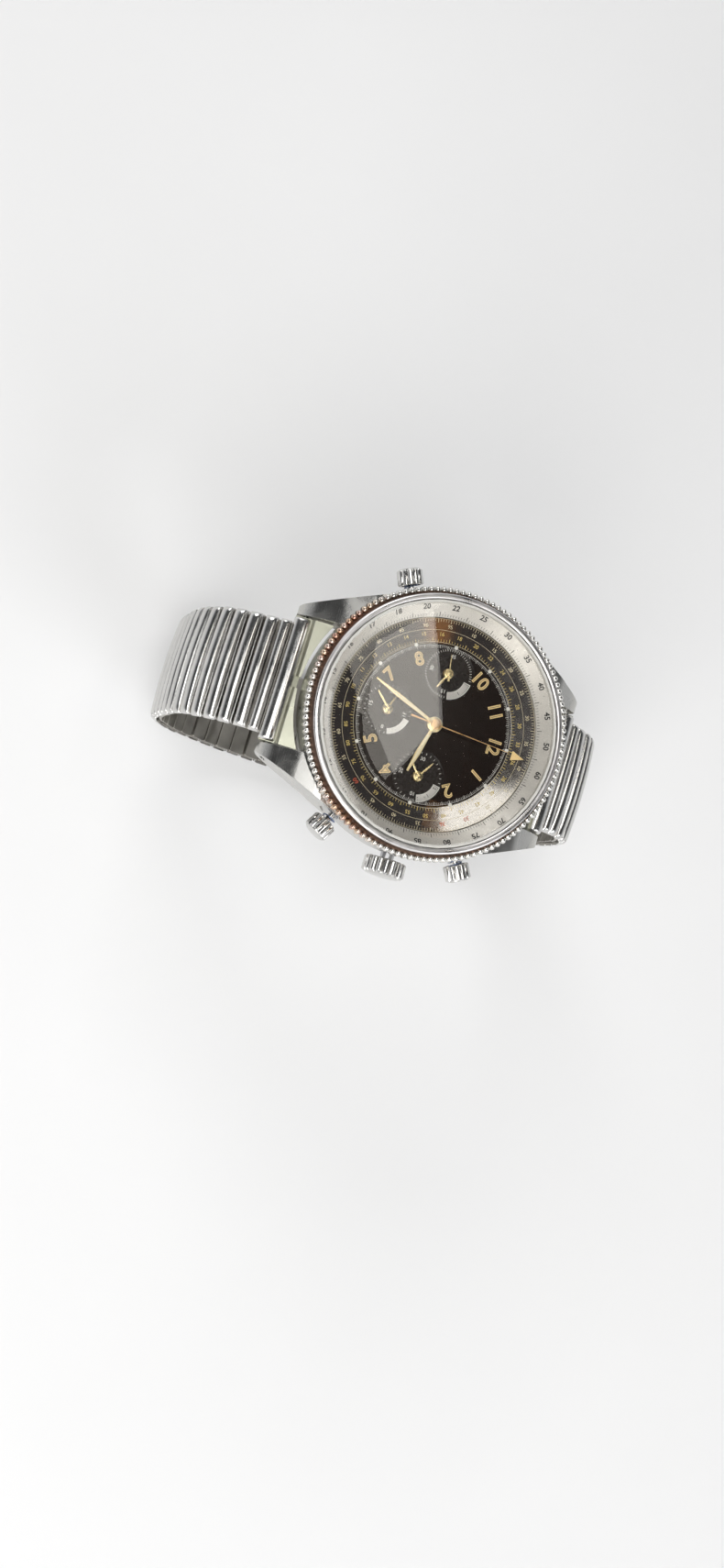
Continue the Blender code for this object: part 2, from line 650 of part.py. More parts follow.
def group_outline(loop, side, index, pitch):
    """Four bars on one strap. Its tongue runs on under the next group's first bar."""
    start = END_LINK_LENGTH + index * BARS_PER_GROUP * pitch
    end = start + BARS_PER_GROUP * pitch
    last = index == LINK_GROUPS[side] - 1
    crown = ((0.06, 0.8), (0.2, 0.22), (0.5, 0.0), (0.8, 0.22), (0.94, 0.8))
    edge = [(start + (bar + f) * pitch, depth) for bar in range(BARS_PER_GROUP) for f, depth in crown]
    edge.append((end - LINK_GAP, BAR_BOTTOM))
    if not last:
        edge += [(end - LINK_GAP, TONGUE_TOP), (end + TONGUE, TONGUE_TOP), (end + TONGUE, BAND_THICKNESS)]
    strap_start = start + TONGUE + TONGUE_CLEARANCE
    steps = BARS_PER_GROUP - 1
    for i in range(steps + 1):
        edge.append((end - LINK_GAP + (strap_start - end + LINK_GAP) * i / steps, BAND_THICKNESS))
    edge += [(strap_start, BAR_BOTTOM), (start + LINK_GAP, BAR_BOTTOM)]
    return [loop.point(side, s, depth) for s, depth in edge]


def group_width(side, index):
    share = (index + 0.5) / LINK_GROUPS[side]
    return BAND_WIDTH_TOP + (BAND_WIDTH_BOTTOM - BAND_WIDTH_TOP) * share


def make_end_link(loop, side, sign):
    """Plate against the case, a wide polished bar over the spring bar, a narrow bar and a tongue."""
    wide = [
        (0.0, 0.45), (2.6, 0.45), (2.65, 0.6), (4.6, 0.6), (4.75, 0.1), (5.2, -0.1), (7.0, -0.1), (7.6, 0.15),
        (7.8, 0.8), (7.8, 2.2), (6.9, 3.2), (5.9, 3.5), (4.6, 3.4), (3.4, 2.4), (0.0, 2.2),
    ]
    narrow = [
        (7.0, 0.9), (7.95, 0.9), (8.1, 0.3), (8.75, 0.08), (9.4, 0.3), (9.6, 0.9), (9.75, BAR_BOTTOM),
        (9.75, TONGUE_TOP), (END_LINK_LENGTH + TONGUE, TONGUE_TOP), (END_LINK_LENGTH + TONGUE, BAND_THICKNESS),
        (9.0, BAND_THICKNESS), (7.0, 2.3),
    ]
    link = node(
        f"end_link_{side}",
        across([loop.point(side, s, depth) for s, depth in wide], END_LINK_WIDTH),
        STEEL,
    )
    join(link, across([loop.point(side, s, depth) for s, depth in narrow], BAND_WIDTH_TOP))
    bore = along_x(rod(SPRING_BAR_R + 0.1, -12.0, 12.0), PIVOT_Z)
    cut(link, turned(bore, Matrix.Translation((0, sign * PIVOT_Y * MM, 0))))
    cut(link, rod(CASE_R + 0.45, -2.0, 12.0, sides=ROUND))


def make_bracelet():
    loop = Loop()
    bars = sum(LINK_GROUPS.values()) * BARS_PER_GROUP
    pitch = (loop.total - 2 * END_LINK_LENGTH) / bars
    for side, sign in (("six", -1), ("twelve", 1)):
        make_end_link(loop, side, sign)
        for index in range(LINK_GROUPS[side]):
            outline = group_outline(loop, side, index, pitch)
            width = group_width(side, index)
            node(f"expansion_links_{side}_{index + 1}", across(outline, width), STEEL)


def main():
    for obj in list(bpy.data.objects):
        bpy.data.objects.remove(obj)
    make_case()
    make_bezel()
    make_dial()
    make_hands()
    make_plates()
    make_train()
    make_escapement()
    make_rotor()
    make_crown()
    for name, angle in PUSHERS.items():
        make_pusher(name, angle)
    make_spring_bars()
    make_bracelet()


main()
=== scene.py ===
"""Looks for the wrist chronograph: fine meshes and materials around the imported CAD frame.

Lengths are in millimetres in the code and become metres when a mesh is made. The frame's origin is the
centre of the case back, +Z out of the dial, +Y to 12 o'clock, +X to 3 o'clock.
"""

import bisect
import math

import bmesh
import bpy
from mathutils import Matrix, Vector


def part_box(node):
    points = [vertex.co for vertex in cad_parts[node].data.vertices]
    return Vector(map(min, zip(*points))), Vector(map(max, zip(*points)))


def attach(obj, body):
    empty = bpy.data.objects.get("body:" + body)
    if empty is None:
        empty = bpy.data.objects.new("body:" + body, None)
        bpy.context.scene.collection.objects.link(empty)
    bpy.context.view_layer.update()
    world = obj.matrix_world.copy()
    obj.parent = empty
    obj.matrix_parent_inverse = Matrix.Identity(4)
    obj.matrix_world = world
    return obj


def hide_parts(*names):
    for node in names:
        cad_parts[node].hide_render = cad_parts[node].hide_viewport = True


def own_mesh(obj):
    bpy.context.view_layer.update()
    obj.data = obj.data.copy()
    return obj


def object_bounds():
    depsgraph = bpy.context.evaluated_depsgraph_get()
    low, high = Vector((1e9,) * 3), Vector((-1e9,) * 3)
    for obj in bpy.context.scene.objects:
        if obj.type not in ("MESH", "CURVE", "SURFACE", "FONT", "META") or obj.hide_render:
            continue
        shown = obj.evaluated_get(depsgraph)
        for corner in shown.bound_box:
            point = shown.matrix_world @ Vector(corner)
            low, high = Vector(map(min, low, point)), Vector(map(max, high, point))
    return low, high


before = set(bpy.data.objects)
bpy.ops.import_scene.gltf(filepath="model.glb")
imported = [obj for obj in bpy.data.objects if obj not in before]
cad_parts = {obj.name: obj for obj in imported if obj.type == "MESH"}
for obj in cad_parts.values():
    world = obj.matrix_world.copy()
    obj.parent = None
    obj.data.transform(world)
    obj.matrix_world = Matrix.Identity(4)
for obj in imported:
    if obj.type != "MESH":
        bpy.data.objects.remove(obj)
CAD_BOX = [list(corner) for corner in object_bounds()]

MM = 0.001
WELD = 1e-8
ROUND = 180

# Levels and radii that repeat the CAD's
CASE_R = 20.4
BEZEL_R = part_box("bezel")[1].x / MM
CRYSTAL_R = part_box("crystal")[1].x / MM
CRYSTAL_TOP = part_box("crystal")[1].z / MM
DIAL_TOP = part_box("dial")[1].z / MM
STEM_Z = 5.6
PIVOT_Y, PIVOT_Z = 22.3, 2.4
PUSHERS = {"start_pusher": 60.0, "reset_pusher": 120.0, "corrector_pusher": 246.0}
SUBDIALS = {"three": (8.2, 0.0), "six": (0.0, -7.6), "nine": (-8.2, 0.0)}
WINDOW_R = (2.9, 3.8)
WINDOW_ANGLES = (10.0, 75.0)
PRINT = 0.02  # thickness of printed marks
BEADS = 126
WORN_PLATING = ((205.0, 0.5), (120.0, 0.4))  # clock angle, reach as a share of the bezel's radius

# Bracelet loop, as in the CAD
LOOP_CENTRE_Z, LOOP_HALF_HEIGHT, LOOP_TOP_Y, LOOP_POWER = -17.0, 23.6, 17.0, 3.0
LOOP_HALF_SIX, LOOP_HALF_TWELVE = 37.0, 33.2
LINK_GROUPS = {"six": 7, "twelve": 6}
BARS_PER_GROUP = 4
END_LINK_LENGTH = 9.95
BAND_WIDTH_TOP, BAND_WIDTH_BOTTOM = 17.8, 16.0


# ---------------------------------------------------------------- materials


class Graph:
    """A material's node tree, written as calls: an input given a socket is linked, any other is set."""

    def __init__(self, name):
        self.material = bpy.data.materials.new(name)
        self.material.use_nodes = True
        self.tree = self.material.node_tree
        self.tree.nodes.clear()

    def add(self, kind, inputs=None, **settings):
        made = self.tree.nodes.new("ShaderNode" + kind)
        for key, value in settings.items():
            setattr(made, key, value)
        for key, value in (inputs or {}).items():
            if isinstance(value, bpy.types.NodeSocket):
                self.tree.links.new(value, made.inputs[key])
            else:
                made.inputs[key].default_value = value
        return made

    def coords(self, scale=(1, 1, 1)):
        """Object coordinates in millimetres, stretched by scale."""
        spot = self.add("TexCoord").outputs["Object"]
        return self.add("Mapping", {0: spot, "Scale": [s / MM for s in scale]}).outputs[0]

    def noise(self, scale, detail=3.0, stretch=(1, 1, 1), distortion=0.0):
        """Noise with features of about 1/scale millimetres."""
        return self.add(
            "TexNoise",
            {"Vector": self.coords(stretch), "Scale": scale, "Detail": detail, "Distortion": distortion},
        ).outputs["Fac"]

    def span(self, value, low, high, start=0.3, end=0.7):
        """value mapped from start..end to low..high."""
        return self.add(
            "MapRange",
            {"Value": value, "From Min": start, "From Max": end, "To Min": low, "To Max": high},
        ).outputs["Result"]

    def blend(self, share, first, second):
        mixed = self.add("Mix", data_type="RGBA")
        for socket, value in ((0, share), (6, first), (7, second)):
            if isinstance(value, bpy.types.NodeSocket):
                self.tree.links.new(value, mixed.inputs[socket])
            else:
                mixed.inputs[socket].default_value = value if socket == 0 else (*value, 1.0)
        return mixed.outputs[2]

    def math(self, operation, first, second=0.0):
        return self.add("Math", {0: first, 1: second}, operation=operation).outputs[0]

    def bump(self, height, strength, distance, under=None):
        inputs = {"Height": height, "Strength": strength, "Distance": distance * MM}
        if under:
            inputs["Normal"] = under
        return self.add("Bump", inputs).outputs[0]

    def finish(self, colour, roughness, metallic=0.0, normal=None, **plain):
        inputs = {"Base Color": colour, "Roughness": roughness, "Metallic": metallic}
        if normal:
            inputs["Normal"] = normal
        inputs.update({key.replace("_", " "): value for key, value in plain.items()})
        shader = self.add("BsdfPrincipled", inputs)
        self.add("OutputMaterial", {"Surface": shader.outputs[0]})
        return self.material


def wear(graph, strength=0.35):
    """A mask that is high on convex edges, broken up by noise."""
    edge = graph.add("NewGeometry").outputs["Pointiness"]
    edge = graph.span(edge, 0.0, strength, 0.505, 0.56)
    return graph.math("MULTIPLY", edge, graph.noise(0.9, 4.0))


def metal(name, colour, roughness, brush=(1, 1, 1), grain=0.25, dark=0.6, scratch=0.3):
    """Worn metal: cloudy tone, fine grain along the long side of brush, hairline scratches, bright edges."""
    g = Graph(name)
    cloud = g.noise(0.22, 4.0, distortion=0.6)
    fine = g.noise(5.0, 5.0, brush)
    tone = g.blend(g.span(cloud, 0.0, 1.0), [c * dark for c in colour], colour)
    tone = g.blend(wear(g), tone, [min(1.0, c * 1.25) for c in colour])
    hairs = g.noise(3.0, 2.0, (0.12, 6.0, 6.0), 1.5)
    hairs = g.span(hairs, 0.0, 1.0, 0.66, 0.72)
    rough = g.math("ADD", g.span(cloud, roughness * 0.7, roughness * 1.5), g.span(fine, 0.0, grain * 0.2))
    rough = g.math("ADD", rough, g.math("MULTIPLY", hairs, 0.12))
    relief = g.bump(fine, grain, 0.01)
    relief = g.bump(hairs, scratch, 0.005, relief)
    return g.finish(tone, rough, 1.0, relief)


def turned_metal(name, colour, roughness, grooves):
    """Metal finished in a lathe: fine circular lines about the Z axis."""
    g = Graph(name)
    rings = g.add(
        "TexWave",
        {"Vector": g.coords(), "Scale": grooves, "Distortion": 0.8, "Detail": 3.0, "Detail Scale": 0.4},
        wave_type="RINGS",
        rings_direction="Z",
    ).outputs["Fac"]
    cloud = g.noise(0.15, 3.0)
    tone = g.blend(g.span(cloud, 0.0, 1.0), [c * 0.75 for c in colour], colour)
    rough = g.math("ADD", g.span(cloud, roughness * 0.8, roughness * 1.3), g.span(rings, 0.0, 0.08, 0.0, 1.0))
    return g.finish(tone, rough, 1.0, g.bump(rings, 0.25, 0.01))


def paint(name, colour, roughness, speckle=0.85, coat=0.0, relief=0.15, metallic=0.0, **plain):
    """Lacquer or ink with aged tone and a fine orange-peel surface."""
    g = Graph(name)
    cloud = g.noise(0.35, 5.0, distortion=0.4)
    specks = g.span(g.noise(7.0, 2.0), 0.0, 1.0, 0.45, 0.75)
    tone = g.blend(g.span(cloud, 0.0, 1.0), [c * speckle for c in colour], colour)
    tone = g.blend(g.math("MULTIPLY", specks, 0.25), tone, [min(1.0, c * 1.6 + 0.001) for c in colour])
    rough = g.span(g.noise(1.5, 4.0), roughness * 0.75, roughness * 1.35)
    return g.finish(tone, rough, metallic, g.bump(g.noise(4.0, 3.0), relief, 0.01), Coat_Weight=coat, **plain)


def plated_steel(name):
    """Bezel steel with warm brassy patches where the plating has worn at two stretches of its edge."""
    g = Graph(name)
    steel, copper, brass = (0.72, 0.71, 0.68), (0.40, 0.15, 0.08), (0.62, 0.40, 0.22)
    x, y, _ = g.add("SeparateXYZ", {0: g.coords()}).outputs
    patches = []
    for clock, reach in WORN_PLATING:
        px, py = clock_point(clock, BEZEL_R)
        dx = g.math("SUBTRACT", x, px)
        dy = g.math("SUBTRACT", y, py)
        away = g.math("POWER", g.math("ADD", g.math("POWER", dx, 2.0), g.math("POWER", dy, 2.0)), 0.5)
        patches.append(g.span(away, 1.0, 0.0, BEZEL_R * reach * 0.35, BEZEL_R * reach))
    worn = g.math("MAXIMUM", *patches)
    broken = g.math("MULTIPLY", worn, g.span(g.noise(0.5, 5.0), 0.55, 1.0, 0.35, 0.6))
    warm = g.blend(g.span(g.noise(0.8, 3.0), 0.0, 1.0, 0.4, 0.6), copper, brass)
    tone = g.blend(broken, steel, warm)
    tone = g.blend(wear(g, 0.5), tone, (0.80, 0.77, 0.72))
    fine = g.noise(5.0, 4.0)
    rough = g.math("ADD", g.span(g.noise(0.3, 4.0), 0.10, 0.24), g.math("MULTIPLY", broken, 0.08))
    return g.finish(tone, rough, 1.0, g.bump(fine, 0.2, 0.01))


def crystal_material():
    """Clear acrylic: it mirrors by Fresnel and lets everything else straight through, with faint scuffs."""
    g = Graph("crystal_clear")
    scuffs = g.span(g.noise(1.2, 4.0, (0.3, 4.0, 1.0), 1.2), 0.01, 0.05, 0.55, 0.75)
    relief = g.bump(g.noise(0.25, 2.0), 0.02, 0.02)
    mirror = g.add("BsdfGlossy", {"Color": (1, 1, 1, 1), "Roughness": scuffs, "Normal": relief})
    clear = g.add("BsdfTransparent", {"Color": (0.985, 0.98, 0.97, 1)})
    share = g.add("Fresnel", {"IOR": 1.49, "Normal": relief}).outputs[0]
    # Light isn't bent here, so a ray leaving the glass must not mirror in full.
    leaving = g.add("NewGeometry").outputs["Backfacing"]
    share = g.math("MINIMUM", share, g.span(leaving, 1.0, 0.05, 0.0, 1.0))
    mixed = g.add("MixShader", {0: share, 1: clear.outputs[0], 2: mirror.outputs[0]})
    g.add("OutputMaterial", {"Surface": mixed.outputs[0]})
    return g.material


def clock_point(angle, radius):
    turned = math.radians(angle)
    return radius * math.sin(turned), radius * math.cos(turned)


MATERIALS = {
    "case": metal("case_brushed", (0.60, 0.59, 0.56), 0.22, (5, 0.4, 5), 0.12, 0.75, 0.1),
    "back": turned_metal("back_turned", (0.60, 0.60, 0.58), 0.28, 6.0),
    "polished": metal("polished_steel", (0.67, 0.66, 0.64), 0.17, (0.25, 3, 3), 0.05, 0.85, 0.06),
    "dull": metal("dull_steel", (0.46, 0.44, 0.40), 0.34, (0.4, 4, 4), 0.2),
    "plate": metal("end_plate_steel", (0.50, 0.50, 0.40), 0.34, (4, 0.5, 4), 0.12, 0.75, 0.1),
    "bezel": plated_steel("bezel_plated"),
    "satin": metal("satin_steel", (0.74, 0.72, 0.71), 0.30, (2, 2, 2), 0.06, 0.85, 0.08),
    # Dark brown steel: painted shade for the gap between the bezel's rim and its beads.
    "painted_shade": metal("painted_shade_steel", (0.20, 0.13, 0.10), 0.35, (3, 3, 3), 0.2, 0.5),
    "crystal": crystal_material(),
    "silver": paint("silver_ring", (0.64, 0.62, 0.58), 0.36, 0.92, 0.0, 0.1, 0.3),
    "dial": paint("dial_lacquer", (0.008, 0.003, 0.001), 0.16, 0.7, 0.0, 0.03, IOR=1.25),
    "ring_black": paint("ring_lacquer", (0.016, 0.008, 0.005), 0.08, 0.6, 0.0, 0.02, IOR=3.6),
    "recess": paint("small_dial_lacquer", (0.012, 0.008, 0.006), 0.26, 0.7, 0.0, 0.08, IOR=1.35),
    "cream": paint("cream_print", (0.82, 0.72, 0.48), 0.45, 0.8),
    "white": paint("white_print", (0.80, 0.79, 0.74), 0.5, 0.85),
    "yellow": paint("yellow_print", (0.72, 0.55, 0.18), 0.5, 0.75),
    "red": paint("red_print", (0.62, 0.11, 0.05), 0.5, 0.8),
    "black_print": paint("black_print", (0.02, 0.02, 0.02), 0.5, 0.8),
    "amber": paint("amber_print", (0.90, 0.66, 0.30), 0.45, 0.8),
    "lume": paint("aged_lume_fill", (0.34, 0.26, 0.14), 0.7, 0.7),
    "nylon": paint("nylon_gasket", (0.62, 0.61, 0.57), 0.4, 0.9),
    "hand": metal("hand_gilt", (0.90, 0.74, 0.42), 0.24, (4, 4, 4), 0.2, 0.85),
    "hand_lume": paint("hand_cream", (0.86, 0.76, 0.52), 0.5, 0.85),
    "thin_hand": metal("thin_hand_gilt", (0.88, 0.56, 0.26), 0.28, (4, 4, 4), 0.2, 0.8),
    "disc": paint("calendar_disc", (0.74, 0.73, 0.70), 0.35, 0.85, 0.1, 0.1, 0.3),
    "brass": turned_metal("movement_brass", (0.74, 0.58, 0.30), 0.3, 3.0),
    "steel_part": metal("movement_steel", (0.55, 0.55, 0.56), 0.25, (1, 6, 6)),
    "spring": metal("blued_spring", (0.25, 0.30, 0.45), 0.25, (6, 6, 1)),
    "rubber": paint("gasket_rubber", (0.03, 0.03, 0.03), 0.7, 0.7),
}


# ---------------------------------------------------------------- mesh helpers


def mesh_of(name, bm):
    """A mesh that holds the shape, which is freed."""
    mesh = bpy.data.meshes.new(name)
    bm.to_mesh(mesh)
    bm.free()
    return mesh


def shown(name, data):
    """An object in the scene that shows the data."""
    obj = bpy.data.objects.new(name, data)
    bpy.context.scene.collection.objects.link(obj)
    return obj


def piece(name, bm, material, body, nodes=(), sharp=35.0):
    """Makes the mesh a piece that rides on a body and, where nodes are given, stands for them."""
    bmesh.ops.recalc_face_normals(bm, faces=bm.faces)
    mesh = mesh_of(name, bm)
    mesh.shade_smooth()
    mesh.set_sharp_from_angle(angle=math.radians(sharp))
    mesh.materials.append(MATERIALS[material])
    obj = shown(name, mesh)
    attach(obj, body)
    if nodes:
        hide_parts(*nodes)
    level = obj.modifiers.new("flat_faces", "WEIGHTED_NORMAL")
    level.keep_sharp = True
    return obj


def soften(points, radius, steps=4, closed=True):
    """The outline with its corners rounded."""
    made = []
    count = len(points)
    for i in range(count):
        here = Vector(points[i])
        if not closed and i in (0, count - 1):
            made.append(tuple(here))
            continue
        before, after = Vector(points[i - 1]), Vector(points[(i + 1) % count])
        a = here + (before - here).normalized() * min(radius, (before - here).length * 0.45)
        b = here + (after - here).normalized() * min(radius, (after - here).length * 0.45)
        for k in range(steps + 1):
            t = k / steps
            made.append(tuple(a.lerp(here, t).lerp(here.lerp(b, t), t)))
    return made


def lathe(profile, sides=ROUND, centre=(0.0, 0.0)):
    """A (radius, height) outline turned about Z, closed unless it starts and ends on the axis."""
    bm = bmesh.new()
    points = [bm.verts.new((r * MM, 0, z * MM)) for r, z in profile]
    edges = [bm.edges.new(pair) for pair in zip(points, points[1:])]
    if profile[0][0] > 0 or profile[-1][0] > 0:
        edges.append(bm.edges.new((points[-1], points[0])))
    bmesh.ops.spin(
        bm, geom=points + edges, axis=(0, 0, 1), cent=(0, 0, 0), angle=2 * math.pi, steps=sides, use_merge=True
    )
    bmesh.ops.remove_doubles(bm, verts=bm.verts, dist=WELD)
    bmesh.ops.translate(bm, vec=(centre[0] * MM, centre[1] * MM, 0), verts=bm.verts)
    return bm


def circle(radius, sides, centre):
    angles = [2 * math.pi * (i + 0.5) / sides for i in range(sides)]
    return [(centre[0] + radius * math.cos(a), centre[1] + radius * math.sin(a)) for a in angles]


def prism(outline, low, high):
    bm = bmesh.new()
    face = bm.faces.new([bm.verts.new((x * MM, y * MM, low * MM)) for x, y in outline])
    grown = bmesh.ops.extrude_face_region(bm, geom=[face])["geom"]
    top = [item for item in grown if isinstance(item, bmesh.types.BMVert)]
    bmesh.ops.translate(bm, vec=(0, 0, (high - low) * MM), verts=top)
    bmesh.ops.recalc_face_normals(bm, faces=bm.faces)
    return bm


def turned(bm, matrix):
    bmesh.ops.transform(bm, matrix=matrix, verts=bm.verts)
    return bm


def shift(x, y, z):
    return Matrix.Translation((x * MM, y * MM, z * MM))


def turn_z(angle):
    return Matrix.Rotation(math.radians(angle), 4, "Z")


def along_x(bm, height):
    """Lays a shape built along Z down along +X, at a height."""
    return turned(bm, shift(0, 0, height) @ Matrix.Rotation(math.pi / 2, 4, "Y"))


def to_clock(bm, angle):
    """Swings a shape built along +X to a clock angle."""
    return turned(bm, turn_z(90 - angle))


def across(outline, width):
    """A (y, z) outline extruded along X to both sides."""
    bm = prism(outline, -width / 2, width / 2)
    return turned(bm, Matrix(((0, 0, 1, 0), (1, 0, 0, 0), (0, 1, 0, 0), (0, 0, 0, 1))))


def bevelled(bm, width, segments=3, angle=30.0):
    """Rounds the edges sharper than angle."""
    limit = math.radians(angle)
    edges = [e for e in bm.edges if len(e.link_faces) == 2 and e.calc_face_angle(0) > limit]
    bmesh.ops.bevel(
        bm, geom=edges, offset=width * MM, segments=segments, profile=0.5, affect="EDGES", clamp_overlap=True
    )
    return bm


def absorb(target, extra, matrix=None):
    """Adds a copy of the other shape's faces to the target, and frees the other."""
    if matrix:
        turned(extra, matrix)
    mesh = mesh_of("part", extra)
    target.from_mesh(mesh)
    bpy.data.meshes.remove(mesh)
    return target


def boolean(base, operation, *others):
    """The base shape after cutting, joining or keeping the other shapes."""
    def stand(bm):
        bmesh.ops.recalc_face_normals(bm, faces=bm.faces)
        return shown("work", mesh_of("work", bm))

    body = stand(base)
    helpers = [stand(other) for other in others]
    for helper in helpers:
        modifier = body.modifiers.new("step", "BOOLEAN")
        modifier.operation = operation
        modifier.object = helper
    bm = bmesh.new()
    bm.from_object(body, bpy.context.evaluated_depsgraph_get())
    for obj in [body, *helpers]:
        mesh = obj.data
        bpy.data.objects.remove(obj)
        bpy.data.meshes.remove(mesh)
    bmesh.ops.remove_doubles(bm, verts=bm.verts, dist=WELD)
    return bm


def rod(radius, low, high, centre=(0.0, 0.0), sides=48):
    return prism(circle(radius, sides, centre), low, high)


def lettering(text, size, offset=0.0):
    """Upright text about the origin, its reading direction along +X and its face up."""
    curve = bpy.data.curves.new("glyphs", "FONT")
    curve.body = text
    curve.size = size * MM
    curve.align_x = "CENTER"
    curve.align_y = "CENTER"
    curve.extrude = PRINT / 2 * MM
    curve.offset = offset * MM
    curve.resolution_u = 3
    obj = shown("glyphs", curve)
    solid = obj.evaluated_get(bpy.context.evaluated_depsgraph_get())
    bm = bmesh.new()
    bm.from_mesh(solid.to_mesh())
    solid.to_mesh_clear()
    bpy.data.objects.remove(obj)
    bpy.data.curves.remove(curve)
    bmesh.ops.remove_doubles(bm, verts=bm.verts, dist=WELD)
    return bm


class Cone:
    """A ring of dial between two radii whose height rises from one to the other."""

    def __init__(self, inner, outer, low, high):
        self.inner, self.outer, self.low, self.high = inner, outer, low, high
        self.slope = math.atan2(high - low, outer - inner)

    def height(self, radius):
        return self.low + (radius - self.inner) * math.tan(self.slope)

    def spot(self, angle, radius, lift, centre=(0.0, 0.0)):
        """A frame on the ring: +Y outward along the slope and +Z off the surface."""
        place = shift(*centre, 0) @ turn_z(-angle) @ shift(0, radius, self.height(radius) + lift)
        return place @ Matrix.Rotation(self.slope, 4, "X")

    def ticks(self, count, start, length, width, skip=lambda i: False, centre=(0.0, 0.0)):
        """Radial marks. start is the radius they run out from."""
        bm = bmesh.new()
        for i in range(count):
            if skip(i):
                continue
            mark = prism(
                [(-width / 2, 0), (width / 2, 0), (width / 2, length), (-width / 2, length)], -PRINT / 2, PRINT / 2
            )
            absorb(bm, mark, self.spot(360 * i / count, start, PRINT / 2, centre))
        return bm

    def words(self, labels, radius, size, centre=(0.0, 0.0), offset=0.0, lift=PRINT / 2):
        """Labels at clock angles: {angle: text}. offset makes the strokes bolder."""
        bm = bmesh.new()
        for angle, text in labels.items():
            absorb(bm, lettering(text, size, offset), self.spot(angle, radius, lift, centre))
        return bm


# ---------------------------------------------------------------- case


def lug(side_x, side_y):
    """A tapering lug, where its plan and its side view meet."""
    plan = soften([(10.2, 8.0), (10.2, 23.8), (11.8, 23.8), (18.2, 9.2), (16.0, 4.0)], 0.6)
    side = soften(
        [
            (6.0, 8.9), (14.0, 8.6), (18.5, 7.0), (21.8, 4.9), (23.3, 3.4),
            (23.85, 1.9), (23.3, 0.7), (20.5, 0.9), (15.0, 2.2), (6.0, 2.6),
        ],
        0.8,
    )
    shape = boolean(prism(plan, -1.0, 10.0), "INTERSECT", across(side, 60.0))
    bevelled(shape, 0.22)
    return turned(shape, Matrix.Diagonal((side_x, side_y, 1, 1)))


def make_case():
    profile = soften(
        [
            (15.5, 1.8), (18.4, 1.8), (19.9, 3.2), (CASE_R, 4.6), (CASE_R, 9.1), (20.1, 9.4),
            (19.1, 9.4), (19.1, 10.5), (18.35, 10.5), (18.35, 9.55), (15.5, 9.55),
        ],
        0.18,
    )
    body = boolean(lathe(profile, 120), "UNION", *[lug(x, y) for x in (1, -1) for y in (1, -1)])
    cutters = [rod(16.0, 0.5, 8.4, sides=120), rod(16.9, 8.3, 12.0, sides=120)]
    cutters.append(along_x(rod(1.25, 14.0, 22.0), STEM_Z))
    for angle in PUSHERS.values():
        cutters.append(to_clock(along_x(rod(0.6, 14.0, 22.0), STEM_Z), angle))
        cutters.append(to_clock(along_x(rod(2.25, 20.5, 26.0), STEM_Z), angle))
    for side in (1, -1):
        hole = along_x(rod(0.5, -13.0, 13.0, sides=24), PIVOT_Z)
        cutters.append(turned(hole, shift(0, side * PIVOT_Y, 0)))
    body = boolean(body, "DIFFERENCE", *cutters)
    piece("case_body", body, "case", "case", ["case_middle"])

    profile = [
        (0, 0), (16.4, 0), (17.4, 0.6), (17.4, 1.5), (15.7, 1.5), (15.7, 2.5), (15.1, 2.5), (15.1, 1.0), (0, 1.0),
    ]
    lid = lathe(soften(profile, 0.2, 3, False), 120)
    notches = []
    for i in range(6):
        notch = prism([(15.0, -0.9), (17.8, -0.9), (17.8, 0.9), (15.0, 0.9)], -0.5, 0.35)
        notches.append(turned(notch, turn_z(60 * i + 15)))
    piece("case_back_cover", boolean(lid, "DIFFERENCE", *notches), "back", "case", ["case_back"])


def make_bezel():
    """The satin rim, the grip band with its beads, whose dark brown core is painted shade, and the domed crystal."""
    outline = soften(
        [
            (19.45, 12.0), (19.72, 12.0), (19.7, 12.25),
            (19.5, 12.4), (19.1, 12.45), (18.85, 12.3), (18.85, 10.75), (19.45, 10.6),
        ],
        0.12,
    )
    piece("bezel_ring", lathe(outline), "satin", "bezel", ["bezel"])
    # The grip band's core is dark brown: painted shade in the gap between the rim and the beads.
    core = soften([(19.4, 9.65), (20.15, 9.65), (20.1, 10.8), (19.78, 11.3), (19.72, 12.05), (19.4, 12.05)], 0.08)
    piece("bezel_grip_core", lathe(core), "painted_shade", "bezel")
    beads = bmesh.new()
    radius = math.pi * 20.4 / BEADS * 0.94
    foot, shoulder, dome = 9.8, 10.75, 1.2
    reach = BEZEL_R - 0.04
    for i in range(BEADS):
        profile = [(0, foot), (radius * 0.8, foot), (radius, foot + 0.2), (radius, shoulder)]
        for rise in map(math.radians, (20, 40, 60, 78)):
            profile.append((radius * math.cos(rise), shoulder + radius * dome * math.sin(rise)))
        profile.append((0, shoulder + radius * dome))
        bead = lathe(profile, 12)
        turned(bead, shift(reach - radius * 1.25, 0, 0) @ Matrix.Diagonal((1.25, 1, 1, 1)))
        absorb(beads, bead, turn_z(360 * i / BEADS))
    piece("bezel_beads", beads, "bezel", "bezel", sharp=60.0)

    glass = soften(
        [(0, 11.95), (12.0, 11.8), (17.3, 11.45), (CRYSTAL_R, 11.45), (CRYSTAL_R, 12.5)], 0.1, 2, False
    )
    rim, steps = 12.62, 24
    radii = [(CRYSTAL_R - 0.25) * (1 - i / steps) for i in range(steps + 1)]
    dome = [(r, rim + (CRYSTAL_TOP - rim) * (1 - (r / CRYSTAL_R) ** 2)) for r in radii]
    piece("crystal_dome", lathe(glass + dome), "crystal", "bezel", ["crystal"], 50.0)


